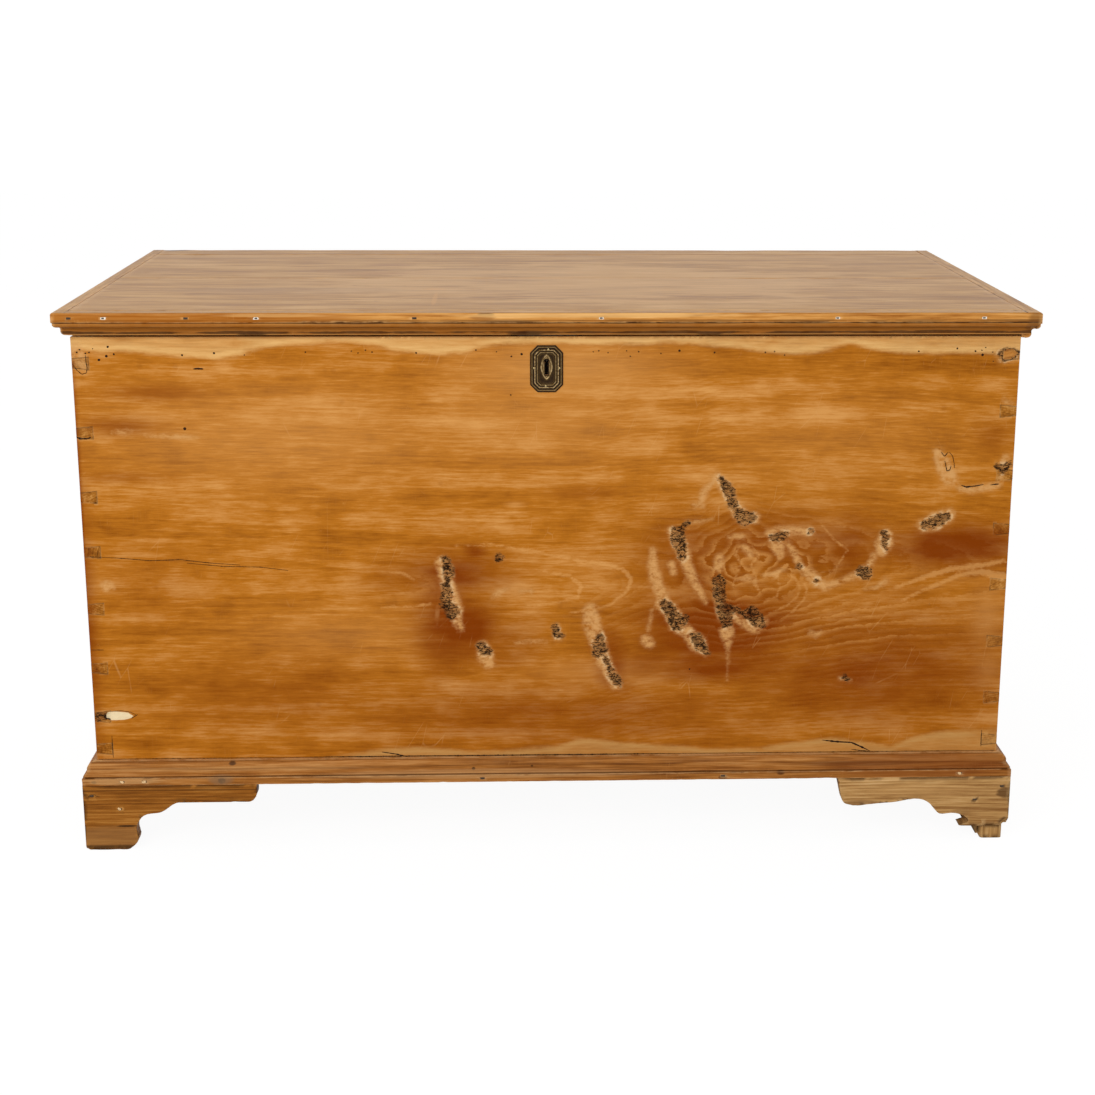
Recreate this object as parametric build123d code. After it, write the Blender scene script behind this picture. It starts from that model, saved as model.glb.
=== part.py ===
"""Pine storage chest: dovetailed board box on bracket feet, hinged lid with a moulded edge, box lock."""

from build123d import *
import math
import os

# Frame: +X to the right, +Y to the back, +Z up, millimetres.
# The origin is on the floor, under the middle of the lid.

# Box
BODY_WIDTH = 1020.0
BODY_DEPTH = 572.0
CARCASE_HEIGHT = 489.5
BOARD = 18.0
BOTTOM_BOARD = 14.0
BOTTOM_BOARD_COUNT = 3
BOTTOM_JOINT_GAP = 0.4

# Through dovetails: pin heights are shares of the carcase height, counted down from the top edge
PIN_SHARES_LEFT = (0.058, 0.212, 0.358, 0.484, 0.616, 0.756, 0.872, 0.950)
PIN_SHARES_RIGHT = (0.041, 0.169, 0.315, 0.441, 0.571, 0.708, 0.844, 0.948)
PIN_NARROW = 10.0
PIN_WIDE = 14.0

# Lid
LID_THICKNESS = 25.5
LID_GAP = 2.7
LID_OVERHANG_LEFT = 15.0
LID_OVERHANG_RIGHT = 17.0
LID_OVERHANG_FRONT = 20.0
LID_OVERHANG_REAR = 15.0
LID_FRONT_BOARD = 278.0
LID_REAR_BOARD = 57.0
LID_BOARD_PROUD = 0.5
LID_JOINT_GAP = 0.3
LID_RIGHT_DROP = 4.0

# Lid moulding section, counted down from the top and inwards from the nose
LID_NOSE_RADIUS = 2.5
LID_FASCIA = 10.2
LID_QUIRK = 1.6
LID_OVOLO = 5.0
LID_OVOLO_SET = 4.2
LID_CAVETTO = 3.4
LID_CAVETTO_SET = 4.4
LID_FILLET = 0.7
LID_BEAD_SET = 5.0
LID_CURVE_BULGE = 1.1

# Plinth
FOOT_HEIGHT = 77.0
PLINTH_HEIGHT = 25.5
PLINTH_PROJECTION = 15.0
PLINTH_FASCIA = 8.2
PLINTH_QUIRK = 1.2
PLINTH_BEAD = 2.6
PLINTH_COVE = 5.0
PLINTH_TOP_SET = 10.5
PLINTH_TOP_FILLET = 0.8
PLINTH_BEAD_BULGE = 1.2
PLINTH_COVE_HOLLOW = 0.6
PLINTH_OVOLO_BULGE = 1.4

# Bracket feet
BRACKET = 18.0
BRACKET_LENGTH = 194.0
BRACKET_NECK = 56.0
BRACKET_NOSE = 10.5
BRACKET_TOE_ROUND = 6.0
WORN_LENGTH = 199.0
WORN_FLOOR_GAP = 16.8
WORN_CHIP = 9.0
REAR_FOOT_LENGTH = 150.0
REAR_FOOT_TOE = 62.0
REAR_FOOT_NECK = 40.0
CORNER_BLOCK = 30.0
CORNER_BLOCK_SHORT = 5.0
# Sound bracket's ogee: shares of its length, and of its neck's height
OGEE = (
    (0.546, 1.0),
    (0.448, 0.80),
    (0.350, 0.735),
    (0.306, 0.57),
    (0.295, 0.42),
    (0.305, 0.22),
    (0.265, 0.045),
    (0.200, 0.0),
)
OGEE_START = (-1.0, -0.2)

# Worn bracket's wavy underside: shares of its length, and of its height
WORN_EDGE = (
    (0.970, 0.555),
    (0.925, 0.452),
    (0.790, 0.470),
    (0.640, 0.515),
    (0.512, 0.552),
    (0.463, 0.465),
    (0.405, 0.262),
    (0.303, 0.257),
    (0.237, 0.070),
    (0.150, 0.0),
)
WORN_START = (-0.4, -1.0)

# Peg of the front right corner block
PEG_WIDTH = 25.0
PEG_DEPTH = 23.0
PEG_SET_BACK = 4.0
PEG_SET_IN = 5.6
PEG_ROUND = 4.0
SEAT_GAP = 0.3

# Hinges
HINGE_LENGTH = 75.0
HINGE_FROM_END = 170.0
HINGE_LEAF = 2.0
HINGE_LEAF_WIDTH = 16.0
HINGE_KNUCKLES = 5
HINGE_KNUCKLE_RADIUS = 3.6
HINGE_KNUCKLE_GAP = 0.25
HINGE_PIN_RADIUS = 1.6
HINGE_PIN_CLEARANCE = 0.05
HINGE_AIR = 0.4
HINGE_SCREW_PITCH = 27.0
HINGE_SCREW_LENGTH = 19.0
LEAF_CLEARANCE = 0.1

# Lock, link plate and keyhole plate
LOCK_FROM_MIDDLE = -4.2
KEY_DEPTH = 26.7
LOCK_PLATE = 2.0
LOCK_PLATE_WIDTH = 76.0
LOCK_PLATE_HEIGHT = 48.0
LOCK_CASE_WIDTH = 62.0
LOCK_CASE_HEIGHT = 44.0
LOCK_CASE_DEPTH = 10.0
LOCK_WALL = 1.6
LOCK_CAP = 1.0
LOCK_FIT = 0.3
BOLT_TRAVEL = 8.0
BOLT_THICKNESS = 3.0
BOLT_BAR_HEIGHT = 7.0
BOLT_BAR_TOP = 15.0
BOLT_BAR_LENGTH = 47.0
BOLT_BAR_START = -27.0
BOLT_POST = 4.0
BOLT_PRONG_TOP = 6.0
BOLT_PRONG_HEIGHT = 3.0
BOLT_PRONG_AIR = 0.8
BOLT_TALON_WIDTH = 8.0
BOLT_TALON_DEPTH = 3.0
BOLT_STUD_RADIUS = 1.5
BOLT_STUD_CLEARANCE = 0.08
BOLT_STUD_PLACES = (-13.0, 16.0)
LOOP_PLACES = (-13.0, 12.0)
LOOP_THICKNESS = 3.0
LOOP_WIDTH = 7.0
LOOP_DROP = 13.0
LOOP_WINDOW_WIDTH = 4.6
LOOP_WINDOW_HEIGHT = 6.0
LOOP_WINDOW_TOP = 4.5
LOOP_SLOT_AIR = 1.4
LINK_PLATE = 2.4
LINK_PLATE_LENGTH = 62.0
LINK_PLATE_WIDTH = 14.0
LINK_SCREW_PITCH = 48.0
LINK_SCREW_LENGTH = 16.0
SPRING_STRIP = 0.8
SPRING_WIDTH = 4.0
SPRING_FOOT = 12.0
SPRING_REACH = 16.0
SPRING_BOW = 6.0
SPRING_AIR = 0.3
KEY_POST_RADIUS = 1.1
KEYHOLE_RADIUS = 2.3
KEYHOLE_SLOT = 3.5
KEYHOLE_DROP = 15.0
LOCK_SCREW_LENGTH = 11.0
LOCK_SCREW_INSET = 3.5
LOCK_SCREW_DROP = 8.0
KEY_PLATE_WIDTH = 35.6
KEY_PLATE_HEIGHT = 51.0
KEY_PLATE_CHAMFER = 8.0
KEY_PLATE_THICKNESS = 1.4
KEY_PLATE_DROP = 34.9
KEY_PLATE_RIB = 1.1
KEY_PLATE_RIB_RISE = 0.7
KEY_PLATE_RIB_INSETS = (0.0, 4.4, 8.2)
KEY_PIN_RADIUS = 0.7
KEY_PIN_HEAD = 1.5
KEY_PIN_LENGTH = 4.0
KEY_PIN_PLACES = ((-13.7, 0.9), (13.7, 0.9), (-0.9, -18.7), (1.9, 21.2))

# Screws and nails
SCREW_HEAD_RADIUS = 3.2
SCREW_RADIUS = 1.5
SCREW_HEAD_DEPTH = 1.7
SCREW_SLOT = 0.8
SMALL_SCREW_HEAD_RADIUS = 2.6
SMALL_SCREW_RADIUS = 1.1
SMALL_SCREW_HEAD_DEPTH = 1.5
HOLE_CLEARANCE = 0.06
NAIL_WIDTH = 3.0
NAIL_THICKNESS = 2.2
NAIL_TIP = 1.2
NAIL_HEAD = 4.6
NAIL_HEAD_DEPTH = 1.2
LID_NAIL_LENGTH = 42.0
LID_NAIL_DROP = 5.6
LID_NAIL_SHARES = (0.018, 0.052, 0.134, 0.204, 0.362, 0.550, 0.790, 0.940)
LID_SIDE_NAIL_SHARES = (0.12, 0.5, 0.88)
PLINTH_NAIL_LENGTH = 38.0
PLINTH_NAIL_RISE = 4.2
PLINTH_NAIL_SHARES = (0.029, 0.053, 0.424, 0.691, 0.957)
PLINTH_SIDE_NAIL_SHARES = (0.12, 0.40, 0.78)
BOTTOM_NAIL_LENGTH = 45.0
BOTTOM_NAIL_SHARES = (0.10, 0.26, 0.36, 0.58, 0.76, 0.90)
BRACKET_NAIL_LENGTH = 34.0
BRACKET_NAILS = ((9.6, 65.0), (40.0, 49.0))
BRACKET_NAIL_STAGGER = 7.0

# How far a cut or a joined piece runs past a face
PAST = 1.0

# Places that follow from the sizes
LID_WIDTH = BODY_WIDTH + LID_OVERHANG_LEFT + LID_OVERHANG_RIGHT
LID_DEPTH = BODY_DEPTH + LID_OVERHANG_FRONT + LID_OVERHANG_REAR
LEFT = LID_OVERHANG_LEFT - LID_WIDTH / 2
RIGHT = LEFT + BODY_WIDTH
FRONT = LID_OVERHANG_FRONT - LID_DEPTH / 2
BACK = FRONT + BODY_DEPTH
FLOOR_BOARDS = FOOT_HEIGHT
CARCASE_BOTTOM = FLOOR_BOARDS + BOTTOM_BOARD
CARCASE_TOP = CARCASE_BOTTOM + CARCASE_HEIGHT
LID_UNDER = CARCASE_TOP + LID_GAP
LID_TOP = LID_UNDER + LID_THICKNESS
PLINTH_TOP = FOOT_HEIGHT + PLINTH_HEIGHT
INNER_FRONT = FRONT + BOARD
LOCK_X = (LEFT + RIGHT) / 2 + LOCK_FROM_MIDDLE
KEY_Z = CARCASE_TOP - KEY_DEPTH
HINGE_Y = BACK + HINGE_KNUCKLE_RADIUS + HINGE_AIR
HINGE_Z = CARCASE_TOP + LID_GAP / 2
HINGE_XS = (LEFT + HINGE_FROM_END, RIGHT - HINGE_FROM_END)

parts = {}


def block(x0, x1, y0, y1, z0, z1):
    """Box between two corners."""
    size = Box(x1 - x0, y1 - y0, z1 - z0)
    return Pos((x0 + x1) / 2, (y0 + y1) / 2, (z0 + z1) / 2) * size


def prism_y(points, y0, y1):
    """Solid with straight-sided outline points (x, z), from y0 to y1."""
    face = make_face(Polyline(*[(x, y0, z) for x, z in points], close=True))
    return extrude(face, amount=y1 - y0, dir=(0, 1, 0))


def prism_z(points, z0, z1):
    """Solid with straight-sided outline points (x, y), from z0 to z1."""
    face = make_face(Polyline(*[(x, y, z0) for x, y in points], close=True))
    return extrude(face, amount=z1 - z0, dir=(0, 0, 1))


def rod(start, direction, radius, length):
    """Round bar from a point along a direction."""
    return extrude(Plane(origin=start, z_dir=direction) * Circle(radius), amount=length)


def screw(head, direction, length, small=False, grow=0.0):
    """Countersunk slotted screw, its head's face at head. With grow it is its hole."""
    head_radius = (SMALL_SCREW_HEAD_RADIUS if small else SCREW_HEAD_RADIUS) + grow
    radius = (SMALL_SCREW_RADIUS if small else SCREW_RADIUS) + grow
    depth = SMALL_SCREW_HEAD_DEPTH if small else SCREW_HEAD_DEPTH
    place = Plane(origin=head, z_dir=direction)
    outline = Polyline(
        (0, 0, 0),
        (head_radius, 0, 0),
        (radius, 0, depth),
        (radius, 0, length - 2 * radius + grow),
        (radius / 3, 0, length + grow),
        (0, 0, length + grow),
        close=True,
    )
    body = revolve(make_face(outline), Axis.Z)
    if grow == 0:
        body -= Box(2 * head_radius + PAST, SCREW_SLOT, depth)
    return place * body


def nail(head, direction, length, grow=0.0):
    """Cut nail: flat tapered shank under a small head whose face is at head. With grow it is its hole."""
    half = NAIL_WIDTH / 2 + grow
    tip = NAIL_TIP / 2 + grow
    thick = NAIL_THICKNESS / 2 + grow
    end = length + grow
    shank = prism_y([(-half, 0), (half, 0), (tip, end), (-tip, end)], -thick, thick)
    head_box = Box(NAIL_HEAD + 2 * grow, 2 * thick, NAIL_HEAD_DEPTH + 2 * grow)
    along_x = abs(direction[0]) > abs(direction[1])
    wide = (0, 1, 0) if along_x else (1, 0, 0)
    top = Pos(0, 0, NAIL_HEAD_DEPTH / 2) * head_box
    return Plane(origin=head, x_dir=wide, z_dir=direction) * (shank + top)


def add_fasteners(name, fasteners, holes, through):
    """Stores equal fasteners as one node and cuts their holes in what they pass through."""
    parts[name] = Compound([one.solid() for one in fasteners])
    for piece in through:
        box = parts[piece].bounding_box()
        near = [hole for hole in holes if boxes_meet(box, hole.bounding_box())]
        if near:
            parts[piece] = parts[piece] - near


def boxes_meet(a, b):
    """True where two bounding boxes share space."""
    apart_x = a.min.X > b.max.X or b.min.X > a.max.X
    apart_y = a.min.Y > b.max.Y or b.min.Y > a.max.Y
    apart_z = a.min.Z > b.max.Z or b.min.Z > a.max.Z
    return not (apart_x or apart_y or apart_z)


def corner_pins(outer_x, inner_x, shares, y0, y1):
    """Dovetail pins of an end board, as they fill one corner of the box."""
    pins = []
    for share in shares:
        z = CARCASE_TOP - share * CARCASE_HEIGHT
        outline = [
            (outer_x, z - PIN_NARROW / 2),
            (outer_x, z + PIN_NARROW / 2),
            (inner_x, z + PIN_WIDE / 2),
            (inner_x, z - PIN_WIDE / 2),
        ]
        pins.append(prism_y(outline, y0, y1))
    return pins


def build_carcase():
    """Four boards joined by through dovetails: tails on front and back, pins on the ends."""
    inner_left = LEFT + BOARD
    inner_right = RIGHT - BOARD
    inner_back = BACK - BOARD
    bottom, top = CARCASE_BOTTOM, CARCASE_TOP
    front_left = corner_pins(LEFT, inner_left, PIN_SHARES_LEFT, FRONT, INNER_FRONT)
    front_right = corner_pins(RIGHT, inner_right, PIN_SHARES_RIGHT, FRONT, INNER_FRONT)
    back_left = corner_pins(LEFT, inner_left, PIN_SHARES_RIGHT, inner_back, BACK)
    back_right = corner_pins(RIGHT, inner_right, PIN_SHARES_RIGHT, inner_back, BACK)
    front = block(LEFT, RIGHT, FRONT, INNER_FRONT, bottom, top)
    back = block(LEFT, RIGHT, inner_back, BACK, bottom, top)
    left = block(LEFT, inner_left, INNER_FRONT, inner_back, bottom, top)
    right = block(inner_right, RIGHT, INNER_FRONT, inner_back, bottom, top)
    parts["front_board"] = front - (front_left + front_right)
    parts["back_board"] = back - (back_left + back_right)
    parts["left_end_board"] = left + front_left + back_left
    parts["right_end_board"] = right + front_right + back_right


def build_bottom():
    """Lengthwise bottom boards, nailed up under the carcase."""
    width = BODY_DEPTH / BOTTOM_BOARD_COUNT
    for index in range(BOTTOM_BOARD_COUNT):
        y0 = FRONT + index * width
        gap = BOTTOM_JOINT_GAP if index < BOTTOM_BOARD_COUNT - 1 else 0
        board = block(LEFT, RIGHT, y0, y0 + width - gap, FLOOR_BOARDS, CARCASE_BOTTOM)
        parts[f"bottom_board_{index + 1}"] = board


def plinth_section():
    """Plinth outline (outward, up from its bottom): fascia, quirk, bead, cove and rounded top."""
    p = PLINTH_PROJECTION
    fascia = PLINTH_FASCIA
    bead = fascia + PLINTH_QUIRK
    cove = bead + PLINTH_BEAD
    ovolo = cove + PLINTH_COVE
    top = PLINTH_HEIGHT
    set_in = p - PLINTH_TOP_SET
    notch = p - 2 * PLINTH_QUIRK
    cove_end = (set_in + notch) / 2 + PLINTH_QUIRK
    quirk_mid = fascia + PLINTH_QUIRK / 2
    shoulder = top - PLINTH_TOP_FILLET
    bead_mid = (notch + PLINTH_BEAD_BULGE, (bead + cove) / 2)
    cove_mid = ((notch + cove_end) / 2 - PLINTH_COVE_HOLLOW, (cove + ovolo) / 2 - PLINTH_COVE_HOLLOW)
    ovolo_mid = (
        (cove_end + set_in) / 2 + PLINTH_OVOLO_BULGE,
        (ovolo + shoulder) / 2 + PLINTH_OVOLO_BULGE,
    )
    return [
        ("line", (0, 0), (p, 0)),
        ("line", (p, 0), (p, fascia)),
        ("line", (p, fascia), (notch, quirk_mid)),
        ("line", (notch, quirk_mid), (notch, bead)),
        ("arc", (notch, bead), bead_mid, (notch, cove)),
        ("arc", (notch, cove), cove_mid, (cove_end, ovolo)),
        ("arc", (cove_end, ovolo), ovolo_mid, (set_in, shoulder)),
        ("line", (set_in, shoulder), (set_in, top)),
        ("line", (set_in, top), (0, top)),
        ("line", (0, top), (0, 0)),
    ]


def lid_section():
    """Lid moulding outline (outward, up from its bottom): nosing, fascia, ovolo, cavetto, bead."""
    p = LID_OVERHANG_FRONT - LID_BOARD_PROUD
    top = LID_THICKNESS
    nose = LID_NOSE_RADIUS
    round_in = nose * (1 - math.sqrt(0.5))
    quirk_z = top - LID_FASCIA
    ovolo_z = quirk_z - LID_QUIRK / 2
    ovolo_x = p - LID_QUIRK
    cavetto_z = ovolo_z - LID_OVOLO
    cavetto_x = ovolo_x - LID_OVOLO_SET
    fillet_z = cavetto_z - LID_CAVETTO
    fillet_x = cavetto_x - LID_CAVETTO_SET
    bead_z = fillet_z - LID_FILLET
    bottom_x = fillet_x - LID_BEAD_SET
    bulge = LID_CURVE_BULGE
    bead_mid = ((bottom_x + fillet_x) / 2 + bulge, bead_z / 2 - bulge)
    cavetto_mid = ((fillet_x + cavetto_x) / 2 - bulge, (fillet_z + cavetto_z) / 2 + bulge)
    ovolo_mid = ((cavetto_x + ovolo_x) / 2 + bulge, (cavetto_z + ovolo_z) / 2 - bulge)
    return [
        ("line", (0, 0), (bottom_x, 0)),
        ("arc", (bottom_x, 0), bead_mid, (fillet_x, bead_z)),
        ("line", (fillet_x, bead_z), (fillet_x, fillet_z)),
        ("arc", (fillet_x, fillet_z), cavetto_mid, (cavetto_x, cavetto_z)),
        ("arc", (cavetto_x, cavetto_z), ovolo_mid, (ovolo_x, ovolo_z)),
        ("line", (ovolo_x, ovolo_z), (p, quirk_z)),
        ("line", (p, quirk_z), (p, top - nose)),
        ("arc", (p, top - nose), (p - round_in, top - round_in), (p - nose, top)),
        ("line", (p - nose, top), (0, top)),
        ("line", (0, top), (0, 0)),
    ]


def moulding(section, place, length, outward_scale=1.0, rise_scale=1.0):
    """Section swept straight along a plane whose x is outward, y is up and z runs along the piece."""
    edges = []
    for kind, *points in section:
        scaled = [(u * outward_scale, v * rise_scale) for u, v in points]
        edges.append(Line(*scaled) if kind == "line" else ThreePointArc(*scaled))
    return extrude(place * make_face(edges), amount=length)


def edge_set(section, box, outward, bottom, top, right_drop=0.0):
    """Front, left and right pieces of a moulded edge round a box in plan (x0, x1, y0, y1), mitred in front.

    outward is how far the front, left and right pieces stand out of the box.
    """
    x0, x1, y0, y1 = box
    out_front, out_left, out_right = outward
    z_low = bottom - right_drop
    front_place = Plane(origin=(x1 + out_right, y0, bottom), x_dir=(0, -1, 0), z_dir=(-1, 0, 0))
    left_place = Plane(origin=(x0, y0 - out_front, bottom), x_dir=(-1, 0, 0), z_dir=(0, 1, 0))
    right_place = Plane(origin=(x1, y1, z_low), x_dir=(1, 0, 0), z_dir=(0, -1, 0))
    long_side = y1 - y0 + out_front
    rise = (top - z_low) / (top - bottom)
    front_plan = [(x0, y0), (x1, y0), (x1 + out_right, y0 - out_front), (x0 - out_left, y0 - out_front)]
    left_plan = [(x0, y0), (x0, y1), (x0 - out_left, y1), (x0 - out_left, y0 - out_front)]
    right_plan = [(x1, y0), (x1, y1), (x1 + out_right, y1), (x1 + out_right, y0 - out_front)]
    front = moulding(section, front_place, x1 - x0 + out_left + out_right)
    left = moulding(section, left_place, long_side, out_left / out_front)
    right = moulding(section, right_place, long_side, out_right / out_front, rise)
    pieces = []
    for piece, plan in ((front, front_plan), (left, left_plan), (right, right_plan)):
        pieces.append(piece & prism_z(plan, z_low, top))
    return pieces


def build_plinth():
    """Moulded plinth on the front and both sides, mitred at the front corners."""
    out = (PLINTH_PROJECTION,) * 3
    box = (LEFT, RIGHT, FRONT, BACK)
    pieces = edge_set(plinth_section(), box, out, FOOT_HEIGHT, PLINTH_TOP)
    for name, piece in zip(("plinth_front", "plinth_left", "plinth_right"), pieces):
        parts[name] = piece


def build_lid():
    """Three lengthwise boards with a mitred moulding on the front and both ends."""
    x0 = LEFT - LID_BOARD_PROUD
    x1 = RIGHT + LID_BOARD_PROUD
    y0 = FRONT - LID_BOARD_PROUD
    y1 = BACK + LID_OVERHANG_REAR
    first = FRONT + LID_FRONT_BOARD
    second = y1 - LID_REAR_BOARD
    parts["lid_front_board"] = block(x0, x1, y0, first - LID_JOINT_GAP, LID_UNDER, LID_TOP)
    parts["lid_middle_board"] = block(x0, x1, first, second - LID_JOINT_GAP, LID_UNDER, LID_TOP)
    parts["lid_rear_board"] = block(x0, x1, second, y1, LID_UNDER, LID_TOP)
    out = (
        LID_OVERHANG_FRONT - LID_BOARD_PROUD,
        LID_OVERHANG_LEFT - LID_BOARD_PROUD,
        LID_OVERHANG_RIGHT - LID_BOARD_PROUD,
    )
    pieces = edge_set(lid_section(), (x0, x1, y0, y1), out, LID_UNDER, LID_TOP, LID_RIGHT_DROP)
    for name, piece in zip(("front", "left", "right"), pieces):
        parts["lid_moulding_" + name] = piece


def bracket_face():
    """Sound bracket's outline (distance from the outer corner, height): nose, neck, ogee, toe."""
    length, neck, nose = BRACKET_LENGTH, BRACKET_NECK, BRACKET_NOSE
    top, toe = FOOT_HEIGHT, BRACKET_TOE_ROUND
    quarter = 1 - math.sqrt(0.5)
    points = [(along * length, up * neck) for along, up in OGEE]
    nose_mid = (length - quarter * nose, neck + quarter * nose)
    return make_face(
        [
            Line((0, top), (length, top)),
            Line((length, top), (length, neck + nose)),
            ThreePointArc((length, neck + nose), nose_mid, (length - nose, neck)),
            Line((length - nose, neck), points[0]),
            Spline(*points, tangents=[OGEE_START, (-1, 0)]),
            Line(points[-1], (toe, 0)),
            ThreePointArc((toe, 0), (quarter * toe, quarter * toe), (0, toe)),
            Line((0, toe), (0, top)),
        ]
    )


def worn_bracket_face():
    """Replaced right bracket: wavy underside, its toe broken away well above the floor."""
    length, low, top = WORN_LENGTH, WORN_FLOOR_GAP, FOOT_HEIGHT
    points = [(along * length, low + up * (top - low)) for along, up in WORN_EDGE]
    return make_face(
        [
            Line((0, top), (length, top)),
            Line((length, top), points[0]),
            Spline(*points, tangents=[WORN_START, (-1, 0)]),
            Line(points[-1], (WORN_CHIP, low)),
            Line((WORN_CHIP, low), (0, low + WORN_CHIP)),
            Line((0, low + WORN_CHIP), (0, top)),
        ]
    )


def bracket(face, corner, along, outward, mitre):
    """One bracket, from its outer corner along the box's face, its thickness running inwards."""
    ax, ay = along
    ox, oy = outward
    turn = Vector(ax, ay, 0).cross(Vector(0, 0, 1))
    place = Plane(origin=(corner[0], corner[1], 0), x_dir=(ax, ay, 0), z_dir=turn)
    inward = -1 if turn.dot(Vector(ox, oy, 0)) > 0 else 1
    body = extrude(place * face, amount=inward * BRACKET)
    if mitre:
        far = max(BRACKET_LENGTH, WORN_LENGTH) + PAST
        near_corner = (corner[0], corner[1])
        inner_corner = (corner[0] + BRACKET * (ax - ox), corner[1] + BRACKET * (ay - oy))
        inner_far = (corner[0] + far * ax - BRACKET * ox, corner[1] + far * ay - BRACKET * oy)
        outer_far = (corner[0] + far * ax, corner[1] + far * ay)
        body = body & prism_z([near_corner, inner_corner, inner_far, outer_far], 0, FOOT_HEIGHT)
    return body


def build_feet():
    """Bracket feet: mitred pairs in front, plain foot boards behind, corner blocks inside."""
    out = PLINTH_PROJECTION
    x0, x1, y0 = LEFT - out, RIGHT + out, FRONT - out
    sound, worn = bracket_face(), worn_bracket_face()
    parts["front_left_bracket"] = bracket(sound, (x0, y0), (1, 0), (0, -1), True)
    parts["left_front_bracket"] = bracket(sound, (x0, y0), (0, 1), (-1, 0), True)
    parts["front_right_bracket"] = bracket(worn, (x1, y0), (-1, 0), (0, -1), True)
    parts["right_front_bracket"] = bracket(worn, (x1, y0), (0, 1), (1, 0), True)
    parts["left_rear_bracket"] = bracket(sound, (x0, BACK), (0, -1), (-1, 0), False)
    parts["right_rear_bracket"] = bracket(sound, (x1, BACK), (0, -1), (1, 0), False)
    inner_left = x0 + BRACKET
    inner_right = x1 - BRACKET
    inner_front = y0 + BRACKET
    for name, inner, side in (("left", inner_left, 1), ("right", inner_right, -1)):
        outline = [
            (inner, 0),
            (inner + side * REAR_FOOT_TOE, 0),
            (inner + side * REAR_FOOT_LENGTH, REAR_FOOT_NECK),
            (inner + side * REAR_FOOT_LENGTH, FOOT_HEIGHT),
            (inner, FOOT_HEIGHT),
        ]
        parts[f"rear_{name}_foot_board"] = prism_y(outline, BACK - BRACKET, BACK)
    size = CORNER_BLOCK
    left_x = (inner_left, inner_left + size)
    right_x = (inner_right - size, inner_right)
    front_y = (inner_front, inner_front + size)
    rear_y = (BACK - BRACKET - size, BACK - BRACKET)
    heights = (CORNER_BLOCK_SHORT, FOOT_HEIGHT)
    parts["front_left_corner_block"] = block(*left_x, *front_y, *heights)
    parts["rear_left_corner_block"] = block(*left_x, *rear_y, *heights)
    parts["rear_right_corner_block"] = block(*right_x, *rear_y, *heights)
    parts["front_right_corner_block"] = peg_block(inner_right, inner_front)


def peg_block(inner_right, inner_front):
    """Corner block of the worn corner: its peg stands under both brackets, on the floor."""
    peg_top = WORN_FLOOR_GAP - SEAT_GAP
    peg_right = RIGHT + PLINTH_PROJECTION - PEG_SET_IN
    peg_front = FRONT - PLINTH_PROJECTION + PEG_SET_BACK
    size = CORNER_BLOCK
    block_y = (inner_front, inner_front + size)
    upper = block(inner_right - size, inner_right, *block_y, peg_top, FOOT_HEIGHT)
    peg = block(peg_right - PEG_WIDTH, peg_right, peg_front, peg_front + PEG_DEPTH, 0, peg_top)
    peg = fillet(peg.edges().filter_by(Axis.Z), PEG_ROUND)
    tongue = block(inner_right - size / 2, inner_right, *block_y, 0, peg_top)
    return upper + tongue + peg


def knuckle_spans(x_middle):
    """Start and end of each knuckle of a hinge, from left to right."""
    pitch = HINGE_LENGTH / HINGE_KNUCKLES
    start = x_middle - HINGE_LENGTH / 2
    half_gap = HINGE_KNUCKLE_GAP / 2
    return [
        (start + index * pitch + half_gap, start + (index + 1) * pitch - half_gap)
        for index in range(HINGE_KNUCKLES)
    ]


def hinge_leaf(x_middle, z0, z1, first_knuckle):
    """Leaf with every second knuckle, starting at first_knuckle."""
    leaf = block(
        x_middle - HINGE_LENGTH / 2,
        x_middle + HINGE_LENGTH / 2,
        BACK - HINGE_LEAF_WIDTH,
        BACK,
        z0,
        z1,
    )
    for x0, x1 in knuckle_spans(x_middle)[first_knuckle::2]:
        leaf += block(x0, x1, BACK - PAST, HINGE_Y, z0, z1)
        leaf += rod((x0, HINGE_Y, HINGE_Z), (1, 0, 0), HINGE_KNUCKLE_RADIUS, x1 - x0)
    bore = HINGE_PIN_RADIUS + HINGE_PIN_CLEARANCE
    start = (x_middle - HINGE_LENGTH / 2 - PAST, HINGE_Y, HINGE_Z)
    return leaf - rod(start, (1, 0, 0), bore, HINGE_LENGTH + 2 * PAST)


def leaf_recess(x_middle, z0, z1):
    """Recess that a leaf lies in."""
    half = HINGE_LENGTH / 2 + LEAF_CLEARANCE
    deep = BACK - HINGE_LEAF_WIDTH - LEAF_CLEARANCE
    return block(x_middle - half, x_middle + half, deep, BACK + PAST, z0, z1)


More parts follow.
